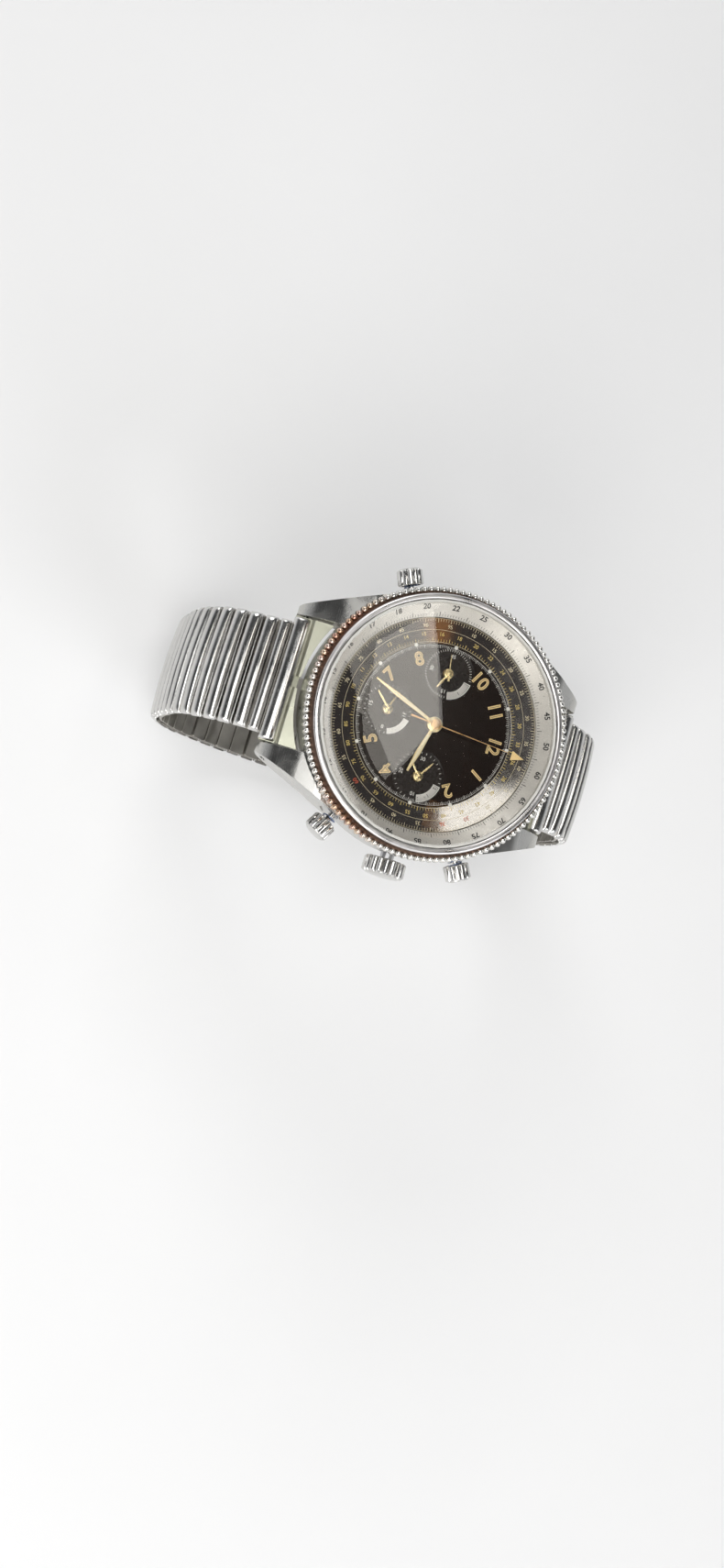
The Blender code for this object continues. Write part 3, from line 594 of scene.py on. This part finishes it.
def make_slide_rule():
    """The silver ring that turns with the bezel, and its scale."""
    cone = Cone(16.42, 18.7, 9.86, 11.36)
    body = soften([(16.35, 9.66), (18.65, 11.0), (18.7, 11.36), (16.42, 9.86)], 0.05, 2)
    piece("slide_rule_flange", lathe(body), "silver", "bezel", ["slide_rule_ring"])
    marks = cone.ticks(240, 16.5, 0.4, 0.06, lambda i: i % 10 == 0)
    absorb(marks, cone.ticks(24, 16.5, 0.75, 0.1))
    numbers = ("60", "65", "70", "75", "80", "85", "90", "10", "11", "12", "13", "14", "15", "16", "17", "18",
               "20", "22", "25", "30", "35", "40", "45", "50")
    labels = {360 * i / len(numbers) + 7.5: text for i, text in enumerate(numbers)}
    absorb(marks, cone.words(labels, 17.85, 1.2, offset=0.03))
    piece("slide_rule_print", marks, "black_print", "bezel")


# ---------------------------------------------------------------- dial


def window_outline(centre, grow=0.0):
    """A curved calendar window's outline."""
    steps = 16
    low, high = WINDOW_ANGLES
    margin = math.degrees(grow / 3.3)
    angles = [low - margin + (high - low + 2 * margin) * i / steps for i in range(steps + 1)]
    edge = [clock_point(a, WINDOW_R[1] + grow) for a in angles]
    edge += [clock_point(a, WINDOW_R[0] - grow) for a in reversed(angles)]
    return [(centre[0] + x, centre[1] + y) for x, y in edge]


def make_dial():
    disc = rod(12.45, 8.6, DIAL_TOP, sides=160)
    cutters = [rod(1.2, 8.0, 10.0)]
    for name, centre in SUBDIALS.items():
        cutters.append(rod(0.85, 8.0, 10.0, centre, 32))
        cutters.append(rod(4.05, DIAL_TOP - 0.16, 10.0, centre, 96))
        if name != "six":
            cutters.append(prism(window_outline(centre), 8.0, 10.0))
    piece("dial_plate", boolean(disc, "DIFFERENCE", *cutters), "dial", "case", ["dial"])

    ring = Cone(12.5, 16.3, DIAL_TOP + 0.02, DIAL_TOP + 0.59)
    profile = soften([(12.5, 8.7), (16.55, 8.7), (16.3, ring.high), (12.5, ring.low)], 0.04, 2)
    piece("dial_scale_ring", lathe(profile), "ring_black", "case")

    flat = Cone(0.0, 12.4, DIAL_TOP, DIAL_TOP)
    track = flat.ticks(300, 11.85, 0.3, 0.035, lambda i: i % 5 == 0)
    absorb(track, flat.ticks(60, 11.75, 0.45, 0.07))
    line = lathe([(12.2, DIAL_TOP), (12.24, DIAL_TOP), (12.24, DIAL_TOP + PRINT), (12.2, DIAL_TOP + PRINT)])
    absorb(track, line)
    piece("minute_track", track, "white", "case")

    dots = bmesh.new()
    for hour in range(12):
        x, y = clock_point(30 * hour, 12.4)
        bead = lathe([(0, 0), (0.3, 0), (0.27, 0.08), (0.15, 0.13), (0, 0.15)], 20)
        absorb(dots, bead, shift(x, y, DIAL_TOP))
    piece("hour_dots", dots, "white", "case")

    labels = {30 * hour % 360: str(hour) for hour in (12, 1, 2, 4, 5, 7, 8, 10, 11)}
    piece("hour_numerals", flat.words(labels, 10.15, 2.9, offset=0.07), "amber", "case")
    fill = flat.words(labels, 10.15, 2.9, offset=-0.06, lift=PRINT * 1.1)
    piece("hour_numeral_fill", fill, "lume", "case")
    make_scales(ring)
    for name, centre in SUBDIALS.items():
        make_subdial(name, centre)


def make_scales(ring):
    """The dial's own scales on the sloped black ring, in three inks."""
    inner = ring.ticks(180, 12.75, 0.35, 0.05, lambda i: i % 6 == 0)
    absorb(inner, ring.ticks(30, 12.75, 0.55, 0.08))
    numbers = ("36", "38", "40", "42", "45", "48", "50", "55", "60", "65", "70", "75", "80", "85", "90",
               "10", "11", "12", "13", "14", "15", "16", "18", "20", "22", "24", "26", "28", "30", "33")
    labels = {360 * i / 30 + 6: text for i, text in enumerate(numbers)}
    absorb(inner, ring.words(labels, 13.85, 0.85))
    piece("inner_scale", inner, "yellow", "case")
    outer = ring.ticks(240, 15.75, 0.38, 0.045, lambda i: i % 5 == 0)
    absorb(outer, ring.ticks(48, 15.6, 0.55, 0.07))
    labels = {360 * i / 24 + 7.5: str(10 + 5 * (i % 18)) for i in range(24) if i % 24 not in (3, 4, 8)}
    absorb(outer, ring.words(labels, 15.1, 0.8))
    for radius in (12.65, 14.5, 16.2):
        height = ring.height(radius)
        line = [(radius, height), (radius + 0.04, height), (radius + 0.04, height + PRINT), (radius, height + PRINT)]
        absorb(outer, lathe(line))
    piece("outer_scale", outer, "cream", "case")
    red = ring.words({52.5: "30", 67.5: "36", 127.5: "60"}, 15.1, 0.95)
    piece("red_scale_marks", red, "red", "case")
    wedge = prism([(-0.75, -1.0), (0.75, -1.0), (0.0, 1.05)], 0.0, PRINT * 2)
    piece("index_triangle", turned(wedge, ring.spot(2.0, 14.3, PRINT)), "amber", "case")


def make_subdial(name, centre):
    """A sunk small dial with turned rings, ticks, numbers and its calendar window's frame."""
    floor = DIAL_TOP - 0.15
    rings = 26
    profile = [(0.86, floor - 0.02)]
    for i in range(rings + 1):
        radius = 0.86 + (4.0 - 0.86) * i / rings
        profile.append((radius, floor + (0.03 if i % 2 else 0.0)))
    profile.append((4.0, floor - 0.02))
    bowl = lathe(profile, 96, centre)
    if name != "six":
        bowl = boolean(bowl, "DIFFERENCE", prism(window_outline(centre), 8.0, 10.0))
        frame_ring = boolean(
            prism(window_outline(centre, 0.12), floor + 0.02, floor + 0.08),
            "DIFFERENCE",
            prism(window_outline(centre), 8.0, 10.0),
        )
        piece(f"{name}_window_frame", frame_ring, "white", "case")
    piece(f"{name}_small_dial", bowl, "recess", "case")
    lip = soften([(3.95, floor), (4.12, DIAL_TOP), (4.12, DIAL_TOP + 0.03), (3.9, floor + 0.05)], 0.02, 2)
    piece(f"{name}_small_dial_rim", lathe(lip, 96, centre), "recess", "case")
    flat = Cone(0.0, 4.0, floor + 0.035, floor + 0.035)
    steps, labels = {
        "three": (30, {90: "10", 180: "20", 270: "30"}),
        "six": (31, {0: "31", 90: "8", 180: "15", 270: "23"}),
        "nine": (60, {90: "15", 180: "30", 270: "45"}),
    }[name]

    def hidden(i):
        angle = 360 * i / steps
        return name != "six" and WINDOW_ANGLES[0] - 5 < angle < WINDOW_ANGLES[1] + 5

    marks = flat.ticks(steps, 3.45, 0.32, 0.06, hidden, centre)
    absorb(marks, flat.words(labels, 2.75, 0.85, centre))
    piece(f"{name}_small_dial_print", marks, "white", "case")
    if name == "six":
        # At 6 there is no window: this pale arc is a painted highlight, matching the pale windows at 3 and 9.
        arc = prism(window_outline(centre), floor + 0.03, floor + 0.06)
        piece("six_small_dial_painted_highlight_arc", arc, "disc", "case")


def make_discs():
    """The calendar discs under the two windows."""
    for node, body, name, text in (
        ("month_disc", "month", "three", ("1", "2", "3", "4", "5", "6", "7", "8", "9", "10", "11", "12")),
        ("weekday_disc", "weekday", "nine", ("1", "2", "3", "4", "5", "6", "7")),
    ):
        centre = SUBDIALS[name]
        ring = lathe(soften([(1.2, 8.2), (4.2, 8.2), (4.2, 8.45), (1.2, 8.45)], 0.04, 2), 96, centre)
        piece(f"{node}_plate", ring, "disc", body, [node])
        flat = Cone(0.0, 4.0, 8.45, 8.45)
        labels = {360 * i / len(text) + 42: t for i, t in enumerate(text)}
        piece(f"{node}_print", flat.words(labels, 3.35, 0.75, centre), "black_print", body)


# ---------------------------------------------------------------- hands


def blade(length, root, middle, tip, hub, tail=0.0):
    """A hand's outline along +Y: narrow root, wider middle, pointed end."""
    right = [(tip / 2, length), (middle / 2, length * 0.62), (root / 2, hub * 0.9)]
    left = [(-x, y) for x, y in reversed(right)]
    ring = [clock_point(a, hub) for a in range(30, 331, 15)]
    bottom = ring
    if tail > hub:
        half = root * 0.6
        side = [p for p in ring if not 165 <= math.degrees(math.atan2(p[0], p[1])) % 360 <= 195]
        cut = len(side) // 2
        bottom = side[:cut] + [(half, -hub), (half * 1.6, -tail), (-half * 1.6, -tail), (-half, -hub)] + side[cut:]
    return right + bottom + left


def make_hand(name, node, body, angle, level, shape, boss, centre=(0, 0), bore=0.0, material="hand", inlay=None):
    """A blade with a boss, pointing to a clock angle. inlay is the start, end and width of its cream fill."""
    low, high = level
    bm = bevelled(prism(blade(*shape), low, high), min(0.05, shape[3] * 0.3), 2, 40.0)
    if bore:
        bm = boolean(bm, "DIFFERENCE", rod(bore, low - 1, high + 1, sides=48))
        dome = [(bore, 0), (boss, 0), (boss, 0.08), (boss * 0.85, 0.13), (bore, 0.13)]
    else:
        dome = [(0, 0), (boss, 0), (boss, 0.06), (boss * 0.8, 0.14), (0, 0.18)]
    absorb(bm, lathe(soften(dome, 0.03, 2, bool(bore)), 48), shift(0, 0, high - 0.02))
    place = shift(*centre, 0) @ turn_z(-angle)
    piece(name, turned(bm, place), material, body, [node])
    if inlay:
        start, end, wide = inlay
        middle = (start + end) / 2
        strip = [(-wide * 0.35, start), (wide * 0.35, start), (wide / 2, middle), (0.0, end), (-wide / 2, middle)]
        fill = bevelled(prism(soften(strip, 0.1, 3), high - 0.03, high + 0.03), 0.02, 1, 60.0)
        piece(f"{name}_fill", turned(fill, place), "hand_lume", body)


def make_hands():
    make_hand(
        "hour_hand_blade", "hour_hand", "hour_hand", 104.5, (9.65, 9.82),
        (8.3, 0.5, 0.85, 0.3, 1.2), 1.15, bore=0.8, inlay=(1.9, 7.9, 0.5),
    )
    make_hand(
        "minute_hand_blade", "minute_hand", "centre_wheel", 199.0, (9.98, 10.13),
        (11.6, 0.45, 0.7, 0.2, 1.1), 1.0, bore=0.45, inlay=(2.2, 10.8, 0.42),
    )
    make_hand(
        "chrono_hand_blade", "chrono_seconds_hand", "chrono_seconds", 2.0, (10.28, 10.38),
        (12.5, 0.16, 0.13, 0.1, 0.6, 4.2), 0.8, material="thin_hand",
    )
    lower, upper = (9.12, 9.22), (9.36, 9.46)
    for name, node, body, angle, at, length in (
        ("month_hand_blade", "month_hand", "month", 231.0, "three", 2.3),
        ("date_hand_blade", "date_hand", "date", 287.0, "six", 2.4),
        ("weekday_hand_blade", "weekday_hand", "weekday", 116.0, "nine", 2.8),
    ):
        make_hand(name, node, body, angle, lower, (length, 0.3, 0.42, 0.18, 0.75), 0.7, SUBDIALS[at], bore=0.5)
    for name, node, body, angle, at, length in (
        ("minute_counter_blade", "thirty_minute_hand", "minute_counter", 303.0, "three", 3.1),
        ("hour_counter_blade", "twelve_hour_hand", "hour_counter", 223.0, "six", 3.2),
    ):
        make_hand(name, node, body, angle, upper, (length, 0.26, 0.36, 0.16, 0.55), 0.5, SUBDIALS[at])
    make_hand(
        "running_seconds_blade", "running_seconds_hand", "seconds", 260.0, upper,
        (3.0, 0.18, 0.16, 0.1, 0.5, 1.2), 0.42, SUBDIALS["nine"],
    )


# ---------------------------------------------------------------- crown and pushers


def fluted(radius, depth, flutes, low, high, chamfer=0.25):
    """A knurled barrel along Z: rounded ribs, with its ends drawn in."""
    per_rib = 6
    sides = flutes * per_rib
    levels = [(low, -chamfer), (low + chamfer, 0.0), (high - chamfer, 0.0), (high, -chamfer)]
    bm = bmesh.new()
    rows = []
    for z, inset in levels:
        row = []
        for i in range(sides):
            wave = abs(math.sin(math.pi * i / per_rib))
            r = radius + inset - depth * (1 - wave**0.5)
            a = 2 * math.pi * i / sides
            row.append(bm.verts.new((r * math.cos(a) * MM, r * math.sin(a) * MM, z * MM)))
        rows.append(row)
    for a, b in zip(rows, rows[1:]):
        for i in range(sides):
            j = (i + 1) % sides
            bm.faces.new((a[i], a[j], b[j], b[i]))
    bm.faces.new(rows[0][::-1])
    bm.faces.new(rows[-1])
    return bm


def make_crown():
    grip = fluted(3.3, 0.5, 18, 21.45, 23.85)
    cap = [(0, 23.5), (2.85, 23.5), (2.85, 23.8), (2.5, 24.05), (1.2, 24.22), (0, 24.25)]
    grip = boolean(grip, "UNION", lathe(soften(cap, 0.12, 3, False), 96))
    hollow = lathe([(0, 20.0), (1.4, 20.0), (1.4, 22.8), (0, 22.8)], 48)
    grip = boolean(grip, "DIFFERENCE", hollow, rod(0.55, 20.0, 23.3, sides=32))
    piece("crown_knob", along_x(grip, STEM_Z), "polished", "crown", ["crown"])


def make_pushers():
    for name, angle in PUSHERS.items():
        grip = fluted(2.0, 0.24, 12, 21.7, 24.05, 0.15)
        cap = [(0, 23.7), (1.72, 23.7), (1.72, 24.12), (1.5, 24.26), (0, 24.3)]
        shape = boolean(grip, "UNION", lathe(soften(cap, 0.08, 3, False), 64))
        hollow = lathe([(0, 20.0), (1.5, 20.0), (1.5, 23.3), (0, 23.3)], 48)
        shape = boolean(shape, "DIFFERENCE", hollow)
        shaft = [(0, 16.9), (0.5, 16.9), (0.5, 23.5), (0, 23.5)]
        shape = boolean(shape, "UNION", lathe(soften(shaft, 0.05, 2, False), 32))
        piece(f"{name}_button", to_clock(along_x(shape, STEM_Z), angle), "polished", name, [name])
        make_return_spring(name, angle)


def make_return_spring(name, angle):
    """The coil round a pusher's shaft. It rides on the pusher."""
    turns, per_turn, around, wire, radius = 4, 24, 8, 0.11, 1.0
    low, high = 20.66, 23.15
    bm = bmesh.new()
    rows = []
    for i in range(turns * per_turn + 1):
        turn = 2 * math.pi * i / per_turn
        middle = low + (high - low) * i / (turns * per_turn)
        row = []
        for k in range(around):
            bend = 2 * math.pi * k / around
            out = radius + wire * math.cos(bend)
            spot = (out * math.cos(turn), out * math.sin(turn), middle + wire * math.sin(bend))
            row.append(bm.verts.new([value * MM for value in spot]))
        rows.append(row)
    for a, b in zip(rows, rows[1:]):
        for k in range(around):
            bm.faces.new((a[k], a[k - 1], b[k - 1], b[k]))
    bm.faces.new(rows[0])
    bm.faces.new(rows[-1][::-1])
    coil = piece(
        f"{name}_return_coil", to_clock(along_x(bm, STEM_Z), angle), "spring", name, [f"{name}_spring"]
    )
    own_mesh(coil)


# ---------------------------------------------------------------- bracelet


class Loop:
    """The bracelet's outer line, from the 6 o'clock lugs round the bottom to the 12 o'clock lugs."""

    def __init__(self, samples=4000):
        begin = self.angle_at(LOOP_TOP_Y, LOOP_HALF_SIX)
        end = self.angle_at(LOOP_TOP_Y, LOOP_HALF_TWELVE)
        start_angle, end_angle = math.pi - begin, 2 * math.pi + end
        step = (end_angle - start_angle) / samples
        self.points = [self.at_angle(start_angle + step * i) for i in range(samples + 1)]
        self.lengths = [0.0]
        for a, b in zip(self.points, self.points[1:]):
            self.lengths.append(self.lengths[-1] + (b - a).length)
        self.total = self.lengths[-1]

    @staticmethod
    def angle_at(reach, half_width):
        return math.acos((reach / half_width) ** (LOOP_POWER / 2))

    @staticmethod
    def at_angle(angle):
        c, s = math.cos(angle), math.sin(angle)
        half = LOOP_HALF_SIX if c < 0 else LOOP_HALF_TWELVE
        y = half * math.copysign(abs(c) ** (2 / LOOP_POWER), c)
        z = LOOP_CENTRE_Z + LOOP_HALF_HEIGHT * math.copysign(abs(s) ** (2 / LOOP_POWER), s)
        return Vector((y, z))

    def on_line(self, s):
        s = min(max(s, 0.0), self.total)
        i = min(bisect.bisect_right(self.lengths, s), len(self.lengths) - 1)
        before, after = self.lengths[i - 1], self.lengths[i]
        return self.points[i - 1].lerp(self.points[i], (s - before) / (after - before))

    def point(self, side, s, depth):
        if side == "twelve":
            s = self.total - s
        ahead = self.on_line(s + 0.05) - self.on_line(s - 0.05)
        inward = Vector((-ahead.y, ahead.x)).normalized()
        return tuple(self.on_line(s) + inward * depth)


def rounded_bar(loop, side, section, width, end, crown=0.0):
    """A section of (s, depth) points run along X, rounded over a length at both ends, which lie lower by crown."""
    middle_s = sum(s for s, _ in section) / len(section)
    base = max(depth for _, depth in section)
    stations = []
    for k in range(7):
        fall = math.radians(15 * k)
        stations.append((-width / 2 + end * (1 - math.cos(fall)), 0.35 + 0.65 * math.sin(fall)))
    left = stations + [(-width / 2 * share, 1.0) for share in (0.75, 0.55, 0.35, 0.15)]
    rows = left + [(-x, share) for x, share in reversed(left)]
    bm = bmesh.new()
    rings = []
    for x, share in rows:
        drop = 1 - crown * (2 * x / width) ** 2 / base
        ring = []
        for s, depth in section:
            deep = base - (base - depth) * share * drop
            ring.append((middle_s + (s - middle_s) * (0.85 + 0.15 * share), deep))
        rings.append([bm.verts.new((x * MM, y * MM, z * MM)) for y, z in (loop.point(side, *p) for p in ring)])
    count = len(section)
    for a, b in zip(rings, rings[1:]):
        for i in range(count):
            j = (i + 1) % count
            bm.faces.new((a[i], a[j], b[j], b[i]))
    bm.faces.new(rings[0][::-1])
    bm.faces.new(rings[-1])
    return bm


def dome_section(start, end, top, edge, base, steps=12):
    """A bar's (s, depth) section: a round top from edge to edge, and a flat base."""
    middle, half = (start + end) / 2, (end - start) / 2
    points = [(start, base), (start, edge)]
    for i in range(1, steps):
        t = -1 + 2 * i / steps
        points.append((middle + half * t, edge - (edge - top) * math.sqrt(1 - t * t)))
    points += [(end, edge), (end, base)]
    return points


def make_links(loop, side, index, pitch):
    """One group: polished bars outside, thin strips in their grooves, flat links inside."""
    start = END_LINK_LENGTH + index * BARS_PER_GROUP * pitch
    share = (index + 0.5) / LINK_GROUPS[side]
    width = BAND_WIDTH_TOP + (BAND_WIDTH_BOTTOM - BAND_WIDTH_TOP) * share
    group_end = start + BARS_PER_GROUP * pitch
    body = f"expansion_{side}_{index + 1}"
    for bar in range(BARS_PER_GROUP):
        at = start + bar * pitch
        section = dome_section(at + 0.1, at + pitch - 0.44, 0.0, 0.95, 1.45, 14)
        outer = rounded_bar(loop, side, section, width, 0.9, 0.42)
        nodes = [f"expansion_links_{side}_{index + 1}"] if bar == 0 else []
        piece(f"{side}_{index + 1}_bar_{bar + 1}", outer, "polished", body, nodes)
    strips = bmesh.new()
    for bar in range(BARS_PER_GROUP):
        at = start + (bar + 1) * pitch - 0.3
        absorb(strips, rounded_bar(loop, side, dome_section(at, at + 0.24, 0.5, 0.65, 1.45, 6), width - 0.3, 0.3))
    piece(f"{side}_{index + 1}_groove_strips", strips, "polished", body)
    # The inner links reach under the next group, but at the loop's opening there is none.
    last = index == LINK_GROUPS[side] - 1
    first, end = start + 3.15, group_end + (-0.16 if last else 2.8)
    step = (end - first) / BARS_PER_GROUP
    inner = bmesh.new()
    for k in range(BARS_PER_GROUP):
        a, b = first + k * step + 0.06, first + (k + 1) * step - 0.06
        section = soften([(a, 1.75), (b, 1.75), (b, 2.35), (a, 2.35)], 0.18, 3)
        absorb(inner, rounded_bar(loop, side, section, width - 0.8, 0.35))
    piece(f"{side}_{index + 1}_inner_links", inner, "dull", body)
    rail_points = [(start + 3.4 + (group_end - start - 4.0) * i / 8, 1.42) for i in range(9)]
    rail_points += [(s, 1.8) for s, _ in reversed(rail_points)]
    rail = across([loop.point(side, s, d) for s, d in rail_points], width - 2.5)
    piece(f"{side}_{index + 1}_spring_box", rail, "dull", body)


def make_end_link(loop, side, sign):
    """The plate between the lugs, a wide and a narrow bar, and the tongue into the first group."""
    body = f"end_link_{side}"
    saddle = [
        (0.0, 0.5), (2.5, 0.5), (4.5, 0.55), (4.85, 0.9), (7.6, 0.9), (7.6, 2.2),
        (6.9, 3.1), (5.9, 3.45), (4.6, 3.3), (3.4, 2.4), (0.0, 2.2),
    ]
    plate = across([loop.point(side, s, d) for s, d in soften(saddle, 0.15, 3)], 19.8)
    bore = turned(along_x(rod(0.85, -12.0, 12.0), PIVOT_Z), shift(0, sign * PIVOT_Y, 0))
    notch_y = sign * 20.9
    notch = prism([(-0.9, notch_y - 0.7), (0.9, notch_y - 0.7), (0.9, notch_y + 0.7), (-0.9, notch_y + 0.7)], 3.6, 12.0)
    shape = boolean(plate, "DIFFERENCE", bore, rod(CASE_R + 0.45, -2.0, 12.0, sides=160), notch)
    piece(f"end_link_{side}_plate", shape, "plate", body, [f"end_link_{side}"])
    wide = rounded_bar(loop, side, dome_section(5.0, 7.72, -0.1, 0.9, 2.0, 14), 19.7, 0.6, 0.2)
    piece(f"end_link_{side}_wide_bar", wide, "polished", body)
    narrow = rounded_bar(loop, side, dome_section(7.86, 9.72, 0.08, 0.95, 1.6, 12), BAND_WIDTH_TOP, 0.6, 0.2)
    piece(f"end_link_{side}_narrow_bar", narrow, "polished", body)
    tongue_end = END_LINK_LENGTH + 2.75
    tongue = [(6.9, 1.45), (9.6, 1.45), (9.7, 1.75), (tongue_end, 1.8), (tongue_end, 2.35), (9.0, 2.35), (6.9, 2.25)]
    tongue = across([loop.point(side, s, d) for s, d in soften(tongue, 0.1, 3)], BAND_WIDTH_TOP - 0.4)
    piece(f"end_link_{side}_tongue", tongue, "dull", body)


def make_bracelet():
    loop = Loop()
    bars = sum(LINK_GROUPS.values()) * BARS_PER_GROUP
    pitch = (loop.total - 2 * END_LINK_LENGTH) / bars
    for side, sign in (("six", -1), ("twelve", 1)):
        make_end_link(loop, side, sign)
        for index in range(LINK_GROUPS[side]):
            make_links(loop, side, index, pitch)


# ---------------------------------------------------------------- CAD nodes that stay


def dress_nodes():
    """Gives the CAD nodes that stay, mostly inside the case, their materials."""
    wanted = {
        "brass": ("main_plate", "train_bridge", "balance_cock", "barrel_drum", "centre_wheel", "third_wheel",
                  "fourth_wheel", "escape_wheel", "balance_wheel"),
        "steel_part": ("movement_ring", "pallet_fork", "winding_rotor", "winding_stem", "crown_tube"),
        "spring": ("mainspring", "hairspring", "bezel_spring_ring"),
        "rubber": ("case_back_gasket",),
        "nylon": ("crystal_gasket",),
        "polished": ("spring_bar_six", "spring_bar_twelve"),
    }
    for material, names in wanted.items():
        for name in names:
            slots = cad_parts[name].data.materials
            slots.clear()
            slots.append(MATERIALS[material])


# ---------------------------------------------------------------- stage


def area_light(name, place, target, size, energy, colour=(1, 1, 1)):
    data = bpy.data.lights.new(name, "AREA")
    data.shape = "RECTANGLE"
    data.size, data.size_y = size
    data.energy = energy
    data.color = colour
    obj = shown(name, data)
    obj.location = place
    obj.rotation_euler = (Vector(target) - Vector(place)).to_track_quat("-Z", "Y").to_euler()


def stage_sheet(name, corners, height, material):
    """A flat sheet, in metres, that isn't part of the object."""
    bm = bmesh.new()
    bm.faces.new([bm.verts.new((x, y, height)) for x, y in corners])
    mesh = mesh_of(name, bm)
    mesh.materials.append(material)
    return shown(name, mesh)


def make_stage():
    g = Graph("floor_paper")
    tone = g.blend(g.noise(0.02, 2.0), (0.84, 0.84, 0.84), (0.88, 0.88, 0.88))
    square = [(-0.9, -0.9), (0.9, -0.9), (0.9, 0.9), (-0.9, 0.9)]
    floor = stage_sheet("floor", square, 0.0, g.finish(tone, 0.6))
    floor.location.z = CAD_BOX[0][2] - 0.1 * MM
    # The watch stands on its lowest links, so the floor goes down with them when the bracelet is stretched.
    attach(floor, "expansion_six_7")

    # Bright near the horizon and dim above, so that the steel has something dark to reflect
    world = bpy.data.worlds.new("studio")
    bpy.context.scene.world = world
    world.use_nodes = True
    nodes, links = world.node_tree.nodes, world.node_tree.links
    background = nodes["Background"]
    background.inputs["Color"].default_value = (0.95, 0.97, 1.0, 1)
    height = nodes.new("ShaderNodeSeparateXYZ")
    links.new(nodes.new("ShaderNodeTexCoord").outputs["Generated"], height.inputs[0])
    wall = nodes.new("ShaderNodeMapRange")
    for socket, value in (("From Min", 0.10), ("From Max", 0.40), ("To Min", 0.75), ("To Max", 0.07)):
        wall.inputs[socket].default_value = value
    links.new(height.outputs["Z"], wall.inputs["Value"])
    links.new(wall.outputs["Result"], background.inputs["Strength"])
    area_light("front_softbox", (0.75, -0.25, 0.55), (0, 0, 0), (0.7, 0.7), 5.5, (1.0, 0.99, 0.97))
    area_light("back_softbox", (0.55, 0.62, 0.50), (0, 0, 0), (0.6, 0.6), 3.0, (0.97, 0.98, 1.0))
    area_light("top_softbox", (0.11, -0.16, 0.62), (0.11, -0.16, 0), (0.40, 0.32), 1.7)
    area_light("side_softbox", (-0.75, -0.35, 0.45), (0, 0, 0), (0.5, 0.5), 3.0)
    area_light("warm_card", (0.030, 0.212, 0.60), (0.030, 0.212, 0), (0.04, 0.04), 0.0035, (1.0, 0.42, 0.10))
    # A glowing card above the dial makes the straight-edged veil on the crystal and the bright patch on the ring.
    g = Graph("window_card_light")
    glow = g.add("Emission", {"Color": (1.0, 0.965, 0.90, 1), "Strength": g.span(g.noise(0.01), 3.1, 3.7)})
    g.add("OutputMaterial", {"Surface": glow.outputs[0]})
    corners = [(-0.264, 0.124), (-0.102, 0.177), (-0.005, 0.126), (-0.080, 0.060), (-0.182, 0.046)]
    stage_sheet("window_card", corners, 0.6, g.material)
    bpy.context.scene.view_settings.view_transform = "Standard"


def make_camera():
    """The photograph's view: from above, 3 o'clock at the bottom."""
    right = Vector((-0.289, 0.913, 0.287)).normalized()
    back = Vector((0.127, -0.261, 0.957)).normalized()
    up = back.cross(right).normalized()
    right = up.cross(back)
    data = bpy.data.cameras.new("camera")
    data.sensor_width = 36.0
    data.lens = 49.9
    data.clip_start = 0.01
    camera = shown("camera", data)
    matrix = Matrix((right, up, back)).transposed().to_4x4()
    matrix.translation = (0.0535, -0.0931, 0.3210)
    camera.matrix_world = matrix
    bpy.context.scene.camera = camera


make_camera()
make_stage()
make_case()
make_bezel()
make_slide_rule()
make_dial()
make_discs()
make_hands()
make_crown()
make_pushers()
make_bracelet()
dress_nodes()
